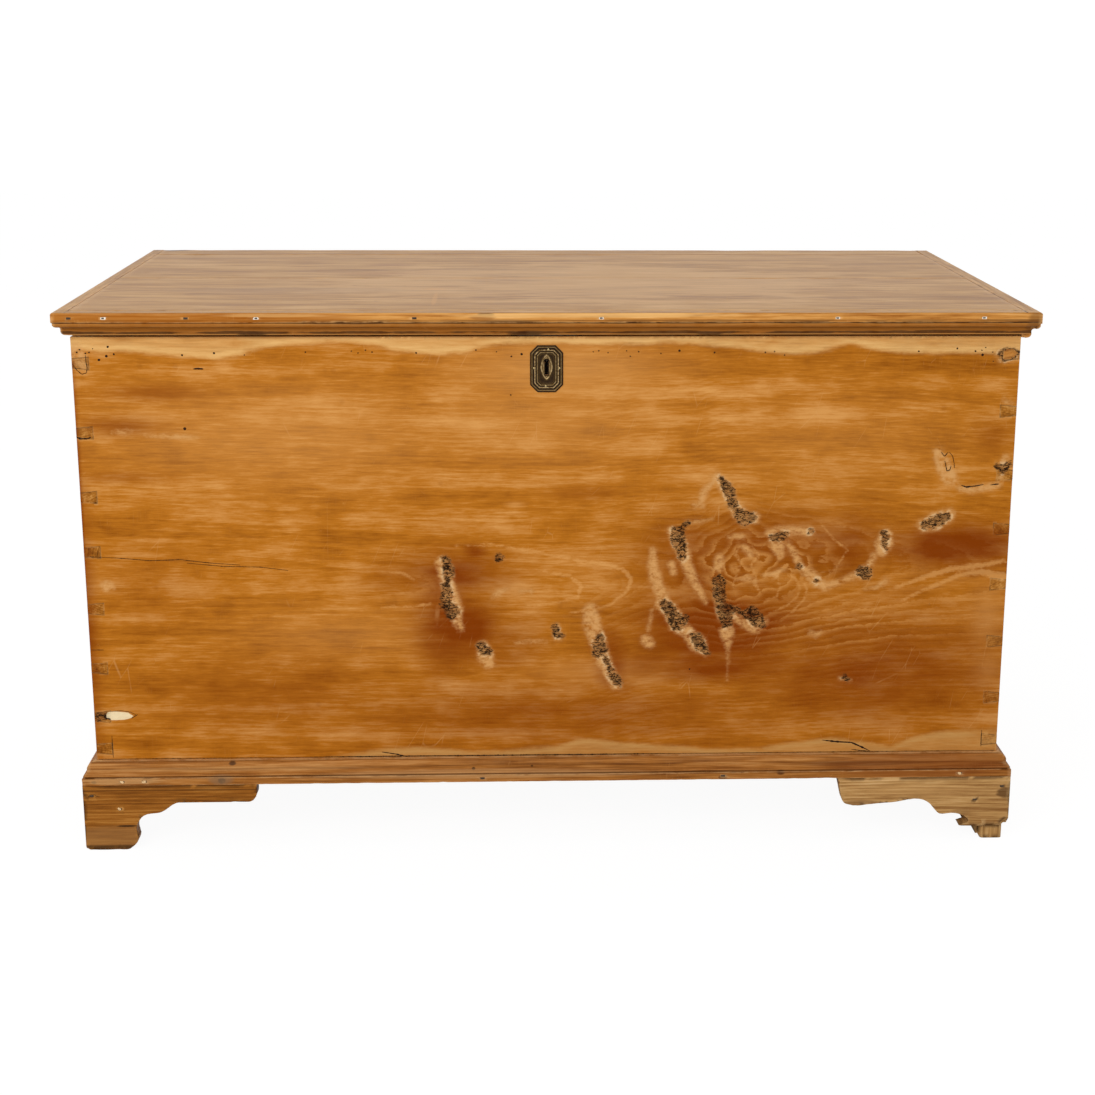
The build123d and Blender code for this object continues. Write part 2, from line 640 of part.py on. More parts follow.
def build_hinges():
    """Two butt hinges: box leaf in the back board's top edge, lid leaf in the lid, knuckles behind."""
    box_screws, box_holes, lid_screws, lid_holes = [], [], [], []
    screw_y = BACK - HINGE_LEAF_WIDTH / 2 - PAST
    for name, x in zip(("left_hinge", "right_hinge"), HINGE_XS):
        box_z = (CARCASE_TOP - HINGE_LEAF, CARCASE_TOP)
        lid_z = (LID_UNDER, LID_UNDER + HINGE_LEAF)
        parts[name + "_box_leaf"] = hinge_leaf(x, *box_z, 0)
        parts[name + "_lid_leaf"] = hinge_leaf(x, *lid_z, 1)
        pin_start = (x - HINGE_LENGTH / 2, HINGE_Y, HINGE_Z)
        parts[name + "_pin"] = rod(pin_start, (1, 0, 0), HINGE_PIN_RADIUS, HINGE_LENGTH)
        parts["back_board"] -= leaf_recess(x, box_z[0] - LEAF_CLEARANCE, CARCASE_TOP + PAST)
        half = HINGE_LENGTH / 2 + HINGE_AIR
        reach = HINGE_KNUCKLE_RADIUS + HINGE_AIR
        barrel_y = (BACK - PAST, HINGE_Y + reach)
        barrel_room = block(x - half, x + half, *barrel_y, LID_UNDER - PAST, HINGE_Z + reach)
        leaf_room = leaf_recess(x, LID_UNDER - PAST, lid_z[1] + LEAF_CLEARANCE)
        parts["lid_rear_board"] -= leaf_room + barrel_room
        for offset in (-HINGE_SCREW_PITCH, 0, HINGE_SCREW_PITCH):
            down = ((x + offset, screw_y, CARCASE_TOP), (0, 0, -1), HINGE_SCREW_LENGTH)
            up = ((x + offset, screw_y, LID_UNDER), (0, 0, 1), HINGE_SCREW_LENGTH)
            box_screws.append(screw(*down))
            box_holes.append(screw(*down, grow=HOLE_CLEARANCE))
            lid_screws.append(screw(*up))
            lid_holes.append(screw(*up, grow=HOLE_CLEARANCE))
    box_pieces = ("left_hinge_box_leaf", "right_hinge_box_leaf", "back_board")
    lid_pieces = ("left_hinge_lid_leaf", "right_hinge_lid_leaf", "lid_rear_board")
    add_fasteners("hinge_screws_box", box_screws, box_holes, box_pieces)
    add_fasteners("hinge_screws_lid", lid_screws, lid_holes, lid_pieces)


def keyhole(y0, y1, grow=0.0):
    """Keyhole: round eye with a slot below it."""
    radius = KEYHOLE_RADIUS + grow
    half = KEYHOLE_SLOT / 2 + grow
    eye = rod((LOCK_X, y0, KEY_Z), (0, 1, 0), radius, y1 - y0)
    return eye + block(LOCK_X - half, LOCK_X + half, y0, y1, KEY_Z - KEYHOLE_DROP - grow, KEY_Z)


def lock_block(x0, x1, in0, in1, down0, down1):
    """Box in the lock's measure: x from its middle, depth into the board, drop from its top edge."""
    depths = (INNER_FRONT - in1, INNER_FRONT - in0)
    heights = (CARCASE_TOP - down1, CARCASE_TOP - down0)
    return block(LOCK_X + x0, LOCK_X + x1, *depths, *heights)


def build_lock():
    """Box lock let into the front board: case with selvedge, cap, key post, bolt and spring."""
    plate = LOCK_PLATE
    half_plate = LOCK_PLATE_WIDTH / 2
    half_case = LOCK_CASE_WIDTH / 2
    case_back = plate + LOCK_CASE_DEPTH
    lock_back = case_back + LOCK_CAP
    case_low = plate + LOCK_CASE_HEIGHT
    wall = LOCK_WALL
    case = lock_block(-half_plate, half_plate, 0, plate, 0, LOCK_PLATE_HEIGHT)
    case += lock_block(-half_plate, half_plate, 0, lock_back, 0, plate)
    case += lock_block(-half_case, half_case, plate, case_back, plate, case_low)
    case -= lock_block(-half_case + wall, half_case - wall, plate, case_back, plate, case_low - wall)
    bolt_back = (plate + case_back) / 2
    loop_half = LOOP_WIDTH / 2 + LOOP_SLOT_AIR
    for place in LOOP_PLACES:
        slot_x = (place - LOOP_SLOT_AIR / 2, place + LOOP_THICKNESS + LOOP_SLOT_AIR / 2)
        case -= lock_block(*slot_x, bolt_back - loop_half, bolt_back + loop_half, -PAST, plate)
    bar_middle = BOLT_BAR_TOP + BOLT_BAR_HEIGHT / 2
    stud_length = bolt_back + BOLT_THICKNESS / 2 + PAST - plate
    for place in BOLT_STUD_PLACES:
        stud = (LOCK_X + place, INNER_FRONT - plate, CARCASE_TOP - bar_middle)
        case += rod(stud, (0, -1, 0), BOLT_STUD_RADIUS, stud_length)
    post_y = INNER_FRONT - plate
    post_end = INNER_FRONT - lock_back
    parts["lock_key_post"] = rod((LOCK_X, post_y, KEY_Z), (0, -1, 0), KEY_POST_RADIUS, post_y - post_end)
    cap = lock_block(-half_case, half_case, case_back, lock_back, plate, case_low)
    parts["lock_cap"] = cap - keyhole(INNER_FRONT - lock_back - PAST, INNER_FRONT - case_back + PAST)
    parts["lock_case"] = case
    parts["lock_bolt"] = lock_bolt(bolt_back, bar_middle)
    parts["lock_spring"] = lock_spring(bolt_back, case_low - wall)
    fit = LOCK_FIT
    plate_x = (-half_plate - fit, half_plate + fit)
    case_x = (-half_case - fit, half_case + fit)
    room = lock_block(*plate_x, -PAST, lock_back + fit, -PAST, plate)
    room += lock_block(*plate_x, -PAST, plate, -PAST, LOCK_PLATE_HEIGHT + fit)
    room += lock_block(*case_x, -PAST, lock_back + fit, -PAST, case_low + fit)
    parts["front_board"] -= room + keyhole(FRONT - PAST, INNER_FRONT - lock_back)
    screws, holes = [], []
    screw_x = half_plate - LOCK_SCREW_INSET
    for x in (-screw_x, screw_x):
        for drop in (LOCK_SCREW_DROP, LOCK_PLATE_HEIGHT - LOCK_SCREW_DROP):
            head = (LOCK_X + x, INNER_FRONT, CARCASE_TOP - drop)
            place = (head, (0, -1, 0), LOCK_SCREW_LENGTH, True)
            screws.append(screw(*place))
            holes.append(screw(*place, grow=HOLE_CLEARANCE))
    add_fasteners("lock_screws", screws, holes, ("lock_case", "front_board"))


def lock_bolt(bolt_back, bar_middle):
    """Bolt with two hooked prongs, a talon for the key and a slot for each guide stud."""
    near = bolt_back - BOLT_THICKNESS / 2
    far = bolt_back + BOLT_THICKNESS / 2
    bar_end = BOLT_BAR_START + BOLT_BAR_LENGTH
    bar_low = BOLT_BAR_TOP + BOLT_BAR_HEIGHT
    bolt = lock_block(BOLT_BAR_START, bar_end, near, far, BOLT_BAR_TOP, bar_low)
    for place in LOOP_PLACES:
        prong_end = place - BOLT_PRONG_AIR
        post_right = place - BOLT_TRAVEL - BOLT_PRONG_AIR / 2
        bolt += lock_block(post_right - BOLT_POST, post_right, near, far, BOLT_PRONG_TOP, bar_low)
        prong_low = BOLT_PRONG_TOP + BOLT_PRONG_HEIGHT
        bolt += lock_block(post_right, prong_end, near, far, BOLT_PRONG_TOP, prong_low)
    half_talon = BOLT_TALON_WIDTH / 2
    bolt -= lock_block(-half_talon, half_talon, near, far, bar_low - BOLT_TALON_DEPTH, bar_low)
    half_slot = BOLT_STUD_RADIUS + BOLT_STUD_CLEARANCE
    for place in BOLT_STUD_PLACES:
        x0, x1 = place - BOLT_TRAVEL, place
        bolt -= lock_block(x0, x1, near, far, bar_middle - half_slot, bar_middle + half_slot)
        for x in (x0, x1):
            end = (LOCK_X + x, INNER_FRONT - near, CARCASE_TOP - bar_middle)
            bolt -= rod(end, (0, -1, 0), half_slot, BOLT_THICKNESS)
    return bolt


def lock_spring(bolt_back, floor_drop):
    """Flat spring that stands on the case's floor and holds the bolt from below at its tail."""
    x0 = LOCK_X + BOLT_BAR_START
    x_tip = x0 + SPRING_REACH
    x_foot = x0 + SPRING_FOOT
    z_tip = CARCASE_TOP - BOLT_BAR_TOP - BOLT_BAR_HEIGHT - SPRING_AIR
    z_foot = CARCASE_TOP - floor_drop
    strip = SPRING_STRIP
    z_bow = (z_tip + z_foot) / 2
    inner_start = (x0 + strip, 0, z_foot + strip)
    inner_mid = (x0 + SPRING_BOW + strip, 0, z_bow)
    inner_end = (x_tip, 0, z_tip - strip)
    face = make_face(
        [
            Line((x0, 0, z_foot), (x_foot, 0, z_foot)),
            Line((x_foot, 0, z_foot), (x_foot, 0, z_foot + strip)),
            Line((x_foot, 0, z_foot + strip), inner_start),
            ThreePointArc(inner_start, inner_mid, inner_end),
            Line(inner_end, (x_tip, 0, z_tip)),
            ThreePointArc((x_tip, 0, z_tip), (x0 + SPRING_BOW, 0, z_bow), (x0, 0, z_foot)),
        ]
    )
    y0 = INNER_FRONT - bolt_back - SPRING_WIDTH / 2
    return extrude(Pos(0, y0, 0) * face, amount=SPRING_WIDTH, dir=(0, 1, 0))


def build_link_plate():
    """Plate under the lid with two loops that drop into the lock's selvedge."""
    bolt_back = LOCK_PLATE + LOCK_CASE_DEPTH / 2
    half_length = LINK_PLATE_LENGTH / 2
    half_width = LINK_PLATE_WIDTH / 2
    over = -LID_GAP
    plate_y = (bolt_back - half_width, bolt_back + half_width)
    plate = lock_block(-half_length, half_length, *plate_y, over, over + LINK_PLATE)
    for place in LOOP_PLACES:
        x = (place, place + LOOP_THICKNESS)
        half = LOOP_WIDTH / 2
        plate += lock_block(*x, bolt_back - half, bolt_back + half, over, LOOP_DROP)
        half = LOOP_WINDOW_WIDTH / 2
        window_low = LOOP_WINDOW_TOP + LOOP_WINDOW_HEIGHT
        plate -= lock_block(*x, bolt_back - half, bolt_back + half, LOOP_WINDOW_TOP, window_low)
    parts["link_plate"] = plate
    screws, holes = [], []
    z = LID_UNDER - LINK_PLATE
    for x in (-LINK_SCREW_PITCH / 2, LINK_SCREW_PITCH / 2):
        place = ((LOCK_X + x, INNER_FRONT - bolt_back, z), (0, 0, 1), LINK_SCREW_LENGTH)
        screws.append(screw(*place))
        holes.append(screw(*place, grow=HOLE_CLEARANCE))
    add_fasteners("link_plate_screws", screws, holes, ("link_plate", "lid_front_board"))


def octagon(inset, y0, y1):
    """Tall eight-sided outline of the keyhole plate, set in from its edge."""
    half_w = KEY_PLATE_WIDTH / 2 - inset
    half_h = KEY_PLATE_HEIGHT / 2 - inset
    cut = KEY_PLATE_CHAMFER - inset * (2 - math.sqrt(2))
    cx, cz = LOCK_X, CARCASE_TOP - KEY_PLATE_DROP
    corners = [
        (cx - half_w + cut, cz - half_h),
        (cx + half_w - cut, cz - half_h),
        (cx + half_w, cz - half_h + cut),
        (cx + half_w, cz + half_h - cut),
        (cx + half_w - cut, cz + half_h),
        (cx - half_w + cut, cz + half_h),
        (cx - half_w, cz + half_h - cut),
        (cx - half_w, cz - half_h + cut),
    ]
    return prism_y(corners, y0, y1)


def build_key_plate():
    """Stamped brass keyhole plate with nested raised ribs, held by four small pins."""
    face = FRONT - KEY_PLATE_THICKNESS
    rib_face = face - KEY_PLATE_RIB_RISE
    plate = octagon(0, face, FRONT)
    for inset in KEY_PLATE_RIB_INSETS:
        plate += octagon(inset, rib_face, face) - octagon(inset + KEY_PLATE_RIB, rib_face, face)
    plate -= keyhole(rib_face - PAST, FRONT + PAST)
    parts["keyhole_plate"] = plate
    pins, holes = [], []
    for x, z in KEY_PIN_PLACES:
        at = (LOCK_X + x, face, CARCASE_TOP - KEY_PLATE_DROP + z)
        length = KEY_PIN_LENGTH + KEY_PLATE_THICKNESS
        head = KEY_PIN_HEAD
        rise = head / 2
        ball = Pos(at[0], face + head - rise, at[2]) * Sphere(head)
        dome = ball & block(at[0] - head, at[0] + head, face - rise, face, at[2] - head, at[2] + head)
        pins.append(dome + rod(at, (0, 1, 0), KEY_PIN_RADIUS, length))
        slack = HOLE_CLEARANCE
        over_rib = (at[0], rib_face - PAST, at[2])
        room = rod(at, (0, 1, 0), KEY_PIN_RADIUS + slack, length + slack)
        room += rod(over_rib, (0, 1, 0), head + slack, face - over_rib[1])
        holes.append(room)
    add_fasteners("keyhole_plate_pins", pins, holes, ("keyhole_plate", "front_board"))


def drive_nails(name, places, length, through):
    """Nails at (head point, direction) places, with their holes."""
    nails = [nail(at, direction, length) for at, direction in places]
    holes = [nail(at, direction, length, HOLE_CLEARANCE) for at, direction in places]
    add_fasteners(name, nails, holes, through)


def side_places(left_x, right_x, z, shares):
    """Nails into the left and right sides, their places shares of the box's depth."""
    places = []
    for share in shares:
        y = FRONT + share * BODY_DEPTH
        places.append(((left_x, y, z), (1, 0, 0)))
        places.append(((right_x, y, z), (-1, 0, 0)))
    return places


def build_nails():
    """Cut nails of the lid moulding, the plinth, the bottom and the brackets."""
    build_lid_nails()
    bottoms = tuple(f"bottom_board_{index + 1}" for index in range(BOTTOM_BOARD_COUNT))
    z = FOOT_HEIGHT + PLINTH_NAIL_RISE
    y = FRONT - PLINTH_PROJECTION
    places = [((LEFT + share * BODY_WIDTH, y, z), (0, 1, 0)) for share in PLINTH_NAIL_SHARES]
    x0, x1 = LEFT - PLINTH_PROJECTION, RIGHT + PLINTH_PROJECTION
    places += side_places(x0, x1, z, PLINTH_SIDE_NAIL_SHARES)
    plinths = ("plinth_front", "plinth_left", "plinth_right")
    drive_nails("plinth_nails", places, PLINTH_NAIL_LENGTH, plinths + bottoms)
    half = BOARD / 2
    up = (0, 0, 1)
    places = []
    for share in BOTTOM_NAIL_SHARES:
        for y in (FRONT + half, BACK - half):
            places.append(((LEFT + share * BODY_WIDTH, y, FLOOR_BOARDS), up))
    for x in (LEFT + half, RIGHT - half):
        for index in range(BOTTOM_BOARD_COUNT):
            y = FRONT + (index + 0.5) * BODY_DEPTH / BOTTOM_BOARD_COUNT
            places.append(((x, y, FLOOR_BOARDS), up))
    boards = ("front_board", "back_board", "left_end_board", "right_end_board")
    drive_nails("bottom_board_nails", places, BOTTOM_NAIL_LENGTH, bottoms + boards)
    build_bracket_nails()


def build_lid_nails():
    """Nails through the lid moulding's fascia into the ends and front edge of the lid boards."""
    z = LID_TOP - LID_NAIL_DROP
    y = FRONT - LID_OVERHANG_FRONT
    half = LID_WIDTH / 2
    places = [((-half + share * LID_WIDTH, y, z), (0, 1, 0)) for share in LID_NAIL_SHARES]
    places += side_places(-half, half, z, LID_SIDE_NAIL_SHARES)
    pieces = [name for name in parts if name.startswith("lid_")]
    drive_nails("lid_moulding_nails", places, LID_NAIL_LENGTH, pieces)


def build_bracket_nails():
    """Two nails through each bracket, at the mitre and into its block, the side ones set lower."""
    x0, x1 = LEFT - PLINTH_PROJECTION, RIGHT + PLINTH_PROJECTION
    y0 = FRONT - PLINTH_PROJECTION
    places = []
    for from_corner, height in BRACKET_NAILS:
        low = height - BRACKET_NAIL_STAGGER
        places.append(((x0 + from_corner, y0, height), (0, 1, 0)))
        places.append(((x1 - from_corner, y0, height), (0, 1, 0)))
        places.append(((x0, y0 + from_corner, low), (1, 0, 0)))
        places.append(((x1, y0 + from_corner, low), (-1, 0, 0)))
        places.append(((x0, BACK - from_corner, low), (1, 0, 0)))
        places.append(((x1, BACK - from_corner, low), (-1, 0, 0)))
    ends = ("_bracket", "_corner_block", "_foot_board")
    pieces = [name for name in parts if name.endswith(ends)]
    drive_nails("bracket_nails", places, BRACKET_NAIL_LENGTH, pieces)


build_carcase()
build_bottom()
build_plinth()
build_feet()
build_lid()
build_hinges()
build_lock()
build_link_plate()
build_key_plate()
build_nails()

os.makedirs("parts", exist_ok=True)
for part_name, shape in parts.items():
    export_step(shape, f"parts/{part_name}.step")
print(len(parts), "nodes")
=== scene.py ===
"""Looks of the pine storage chest: old waxed boards, brass keyhole plate, iron hinges and lock."""

import logging
import math
from dataclasses import dataclass, field, replace
from enum import Enum
from typing import Callable, Sequence, Union

import bmesh
import bpy
import numpy as np
from mathutils import Matrix, Vector, noise

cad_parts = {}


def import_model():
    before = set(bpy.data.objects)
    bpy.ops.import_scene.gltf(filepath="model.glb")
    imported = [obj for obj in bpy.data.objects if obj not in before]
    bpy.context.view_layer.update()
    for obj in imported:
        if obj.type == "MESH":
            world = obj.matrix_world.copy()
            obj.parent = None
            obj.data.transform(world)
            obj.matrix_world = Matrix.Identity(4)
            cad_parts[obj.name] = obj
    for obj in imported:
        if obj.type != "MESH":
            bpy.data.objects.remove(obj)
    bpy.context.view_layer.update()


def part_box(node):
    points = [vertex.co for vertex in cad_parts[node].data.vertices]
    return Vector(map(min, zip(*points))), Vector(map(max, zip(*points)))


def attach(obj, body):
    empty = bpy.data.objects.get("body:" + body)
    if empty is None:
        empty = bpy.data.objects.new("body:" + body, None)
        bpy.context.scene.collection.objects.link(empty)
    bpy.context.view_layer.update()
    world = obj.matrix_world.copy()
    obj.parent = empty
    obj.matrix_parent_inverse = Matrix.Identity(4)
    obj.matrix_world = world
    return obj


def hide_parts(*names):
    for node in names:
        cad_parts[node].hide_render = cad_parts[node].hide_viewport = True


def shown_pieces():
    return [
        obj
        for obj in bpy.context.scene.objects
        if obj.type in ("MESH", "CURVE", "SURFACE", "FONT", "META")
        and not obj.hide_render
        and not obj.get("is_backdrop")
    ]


log = logging.getLogger("chest")

Socket = bpy.types.NodeSocket
Object = bpy.types.Object
Mesh = bpy.types.Mesh
Face = bmesh.types.BMFace
Array = np.ndarray
# A screen colour, its channels from 0 to 255
Colour = tuple[float, float, float]
Value = Union[float, tuple, Socket]
# Points (x, height), the same with a radius or a depth, and soft patches (x, height, half sizes, strength)
Line = tuple[tuple[float, float], ...]
Stroke = tuple[tuple[float, float, float], ...]
Spots = tuple[tuple[float, float, float, float, float], ...]

MM = 0.001
# Half width of a patch that runs the whole length of a board
WHOLE = 5000.0
# Faces that meet at a larger angle show a sharp edge
SHARP = math.radians(35)
# Direction from the chest's front into it
INWARD = Vector((0, 1, 0))


def linear(value: Value) -> Value:
    """Linear colour of a screen colour. A socket stays as it is."""
    if isinstance(value, Socket):
        return value
    parts = [channel / 255 for channel in value]
    return tuple(c / 12.92 if c <= 0.04045 else ((c + 0.055) / 1.055) ** 2.4 for c in parts)


class Grain(Enum):
    """Direction of a board's fibres, as the order in which its axes are read."""

    X = (0, 1, 2)
    Y = (1, 0, 2)
    Z = (2, 0, 1)


class Body(Enum):
    """Moving bodies of the chest."""

    CHEST = "chest"
    LID = "lid"
    BOLT = "bolt"


class Tree:
    """A node tree, built step by step. Its methods give back sockets."""

    def __init__(self, tree: bpy.types.NodeTree) -> None:
        """Takes up a tree and empties it."""
        self.nodes = tree.nodes
        self.links = tree.links
        self.nodes.clear()

    def feed(self, socket: Socket, value: Value) -> None:
        """Links a socket into an input, or sets the input to a constant."""
        if isinstance(value, Socket):
            self.links.new(value, socket)
        elif socket.type == "RGBA":
            socket.default_value = (*value[:3], 1.0)
        else:
            socket.default_value = value

    def node(self, kind: str, inputs: dict, **settings: object) -> bpy.types.Node:
        """Adds a node.

        Args:
            kind: the node's type.
            inputs: values or sockets by input name or number.
            settings: the node's own properties.

        Returns:
            The node.
        """
        made = self.nodes.new(kind)
        for key, value in settings.items():
            setattr(made, key, value)
        for key, value in inputs.items():
            self.feed(made.inputs[key], value)
        return made

    def math(self, operation: str, *values: Value, clamp: bool = False) -> Socket:
        """Arithmetic on single values."""
        inputs = dict(enumerate(values))
        return self.node("ShaderNodeMath", inputs, operation=operation, use_clamp=clamp).outputs[0]

    def fit(self, value: Value, slope: Value, start: Value, clamp: bool = False) -> Socket:
        """Slope times the value, plus start."""
        return self.math("MULTIPLY_ADD", value, slope, start, clamp=clamp)

    def vectors(self, operation: str, a: Value, b: Value) -> Socket:
        """Arithmetic on two vectors."""
        return self.node("ShaderNodeVectorMath", {0: a, 1: b}, operation=operation).outputs[0]

    def sight(self) -> Socket:
        """1 for rays that the camera sends out directly, by a reflection or through glass, 0 for the rest."""
        seen = self.node("ShaderNodeLightPath", {}).outputs
        direct = self.math("MAXIMUM", seen["Is Camera Ray"], seen["Is Glossy Ray"])
        return self.math("MAXIMUM", direct, seen["Is Transmission Ray"])


class Shade(Tree):
    """A material's node tree."""

    def __init__(self, name: str) -> None:
        """Starts an empty material."""
        self.material = bpy.data.materials.new(name)
        self.material.use_nodes = True
        super().__init__(self.material.node_tree)

    def total(self, *values: Value) -> Socket:
        """Sum of several values."""
        result = values[0]
        for value in values[1:]:
            result = self.math("ADD", result, value)
        return result

    def times(self, *values: Value) -> Socket:
        """Product of several values."""
        result = values[0]
        for value in values[1:]:
            result = self.math("MULTIPLY", result, value)
        return result

    def centred(self, value: Value, amount: float) -> Socket:
        """Noise from 0 to 1 turned into a swing round 0, amount wide."""
        return self.fit(value, amount, -amount / 2)

    def step(self, value: Value, low: float, high: float, top: float = 1.0) -> Socket:
        """Smooth step from 0 at low to top at high; low may be above high."""
        flip = low > high
        inputs = {
            "Value": value, "From Min": min(low, high), "From Max": max(low, high),
            "To Min": top if flip else 0.0, "To Max": 0.0 if flip else top,
        }
        return self.node("ShaderNodeMapRange", inputs, interpolation_type="SMOOTHSTEP").outputs[0]

    def mix(self, factor: Value, a: Value, b: Value) -> Socket:
        """Mix of two colours."""
        inputs = {0: factor, 6: linear(a), 7: linear(b)}
        return self.node("ShaderNodeMix", inputs, data_type="RGBA", clamp_factor=True).outputs[2]

    def ramp(self, value: Value, *stops: tuple[float, Colour]) -> Socket:
        """Colour ramp."""
        made = self.node("ShaderNodeValToRGB", {0: value})
        elements = made.color_ramp.elements
        while len(elements) < len(stops):
            elements.new(1.0)
        for element, (place, colour) in zip(elements, stops):
            element.position = place
            element.color = (*linear(colour), 1.0)
        return made.outputs[0]

    def vector(self, x: Value, y: Value, z: Value) -> Socket:
        """Vector of three values."""
        return self.node("ShaderNodeCombineXYZ", {0: x, 1: y, 2: z}).outputs[0]

    def scaled(self, vector: Value, *by: float) -> Socket:
        """Vector multiplied axis by axis, or by one number."""
        return self.vectors("MULTIPLY", vector, by * 3 if len(by) == 1 else by)

    def noise(self, vector: Value, detail: float = 3.0, rough: float = 0.55) -> bpy.types.Node:
        """Noise node read at a vector that already has its scale."""
        inputs = {"Vector": vector, "Scale": 1.0, "Detail": detail, "Roughness": rough}
        return self.node("ShaderNodeTexNoise", inputs)

    def grit(self, vector: Value, detail: float = 3.0, rough: float = 0.55) -> Socket:
        """Noise value from 0 to 1."""
        return self.noise(vector, detail, rough).outputs["Fac"]

    def cells(self, vector: Value, feature: str = "F1") -> Socket:
        """Distance in a Voronoi pattern."""
        made = self.node("ShaderNodeTexVoronoi", {"Vector": vector, "Scale": 1.0}, feature=feature)
        return made.outputs["Distance"]

    def luck(self, number: Value) -> Socket:
        """Chance value from 0 to 1 for each number."""
        return self.node("ShaderNodeTexWhiteNoise", {"W": number}, noise_dimensions="1D").outputs[0]

    def attribute(self, name: str) -> Socket:
        """Value that the mesh's points carry."""
        return self.node("ShaderNodeAttribute", {}, attribute_name=name).outputs["Fac"]

    def place(self) -> Socket:
        """Place on the piece, in millimetres."""
        coordinates = self.node("ShaderNodeTexCoord", {}).outputs["Object"]
        return self.scaled(coordinates, 1 / MM)

    def axes(self, vector: Value) -> list[Socket]:
        """The three parts of a vector."""
        return list(self.node("ShaderNodeSeparateXYZ", {0: vector}).outputs)

    def relief(self, height: Value, strength: float = 1.0, radius: float = 0.0) -> Socket:
        """Bump normal from a height in millimetres, over arrises rounded by a radius in metres."""
        inputs = {"Height": height, "Strength": strength, "Distance": MM}
        if radius:
            inputs["Normal"] = self.node("ShaderNodeBevel", {"Radius": radius}, samples=4).outputs[0]
        return self.node("ShaderNodeBump", inputs).outputs[0]

    def surface(
        self, colour: Value, rough: Value, normal: Value, metallic: Value = 0.0, specular: float = 0.5
    ) -> bpy.types.Material:
        """Closes the tree with one surface.

        Args:
            colour: base colour.
            rough: roughness.
            normal: surface normal.
            metallic: 0 for wood and dirt, 1 for metal.
            specular: strength of the plain reflection, 0.5 for a usual polish.

        Returns:
            The material.
        """
        inputs = {"Base Color": colour, "Roughness": rough, "Normal": normal, "Metallic": metallic}
        inputs["Specular IOR Level"] = specular
        made = self.node("ShaderNodeBsdfPrincipled", inputs).outputs[0]
        self.node("ShaderNodeOutputMaterial", {"Surface": made})
        return self.material


@dataclass(frozen=True)
class Patch:
    """Soft-edged patch of another colour: a knot, a stain, a band, a faded spot, painted shade or a painted
    highlight.

    middle and half are millimetres along the two axes of plane.
    """

    middle: tuple[float, float]
    half: tuple[float, float]
    colour: Colour
    strength: float
    ragged: float = 0.5
    plane: tuple[int, int] = (0, 2)

    def lay(self, s: Shade, axes: Sequence[Value], noise_value: Value, colour: Value) -> Socket:
        """Lays the patch over a colour."""
        parts = []
        for axis, middle, half in zip(self.plane, self.middle, self.half):
            if half < WHOLE:
                away = s.times(s.math("SUBTRACT", axes[axis], middle), 1 / half)
                parts.append(s.times(away, away))
        reach = s.total(*parts, s.times(noise_value, self.ragged))
        return s.mix(s.step(reach, 1.35, 0.35, self.strength), colour, self.colour)


def patch_rows(plane: tuple[int, int], *rows: tuple) -> tuple[Patch, ...]:
    """Patches from rows of middle (2), half size (2), colour, strength and, if not usual, raggedness."""
    return tuple(Patch(row[:2], row[2:4], *row[4:], plane=plane) for row in rows)


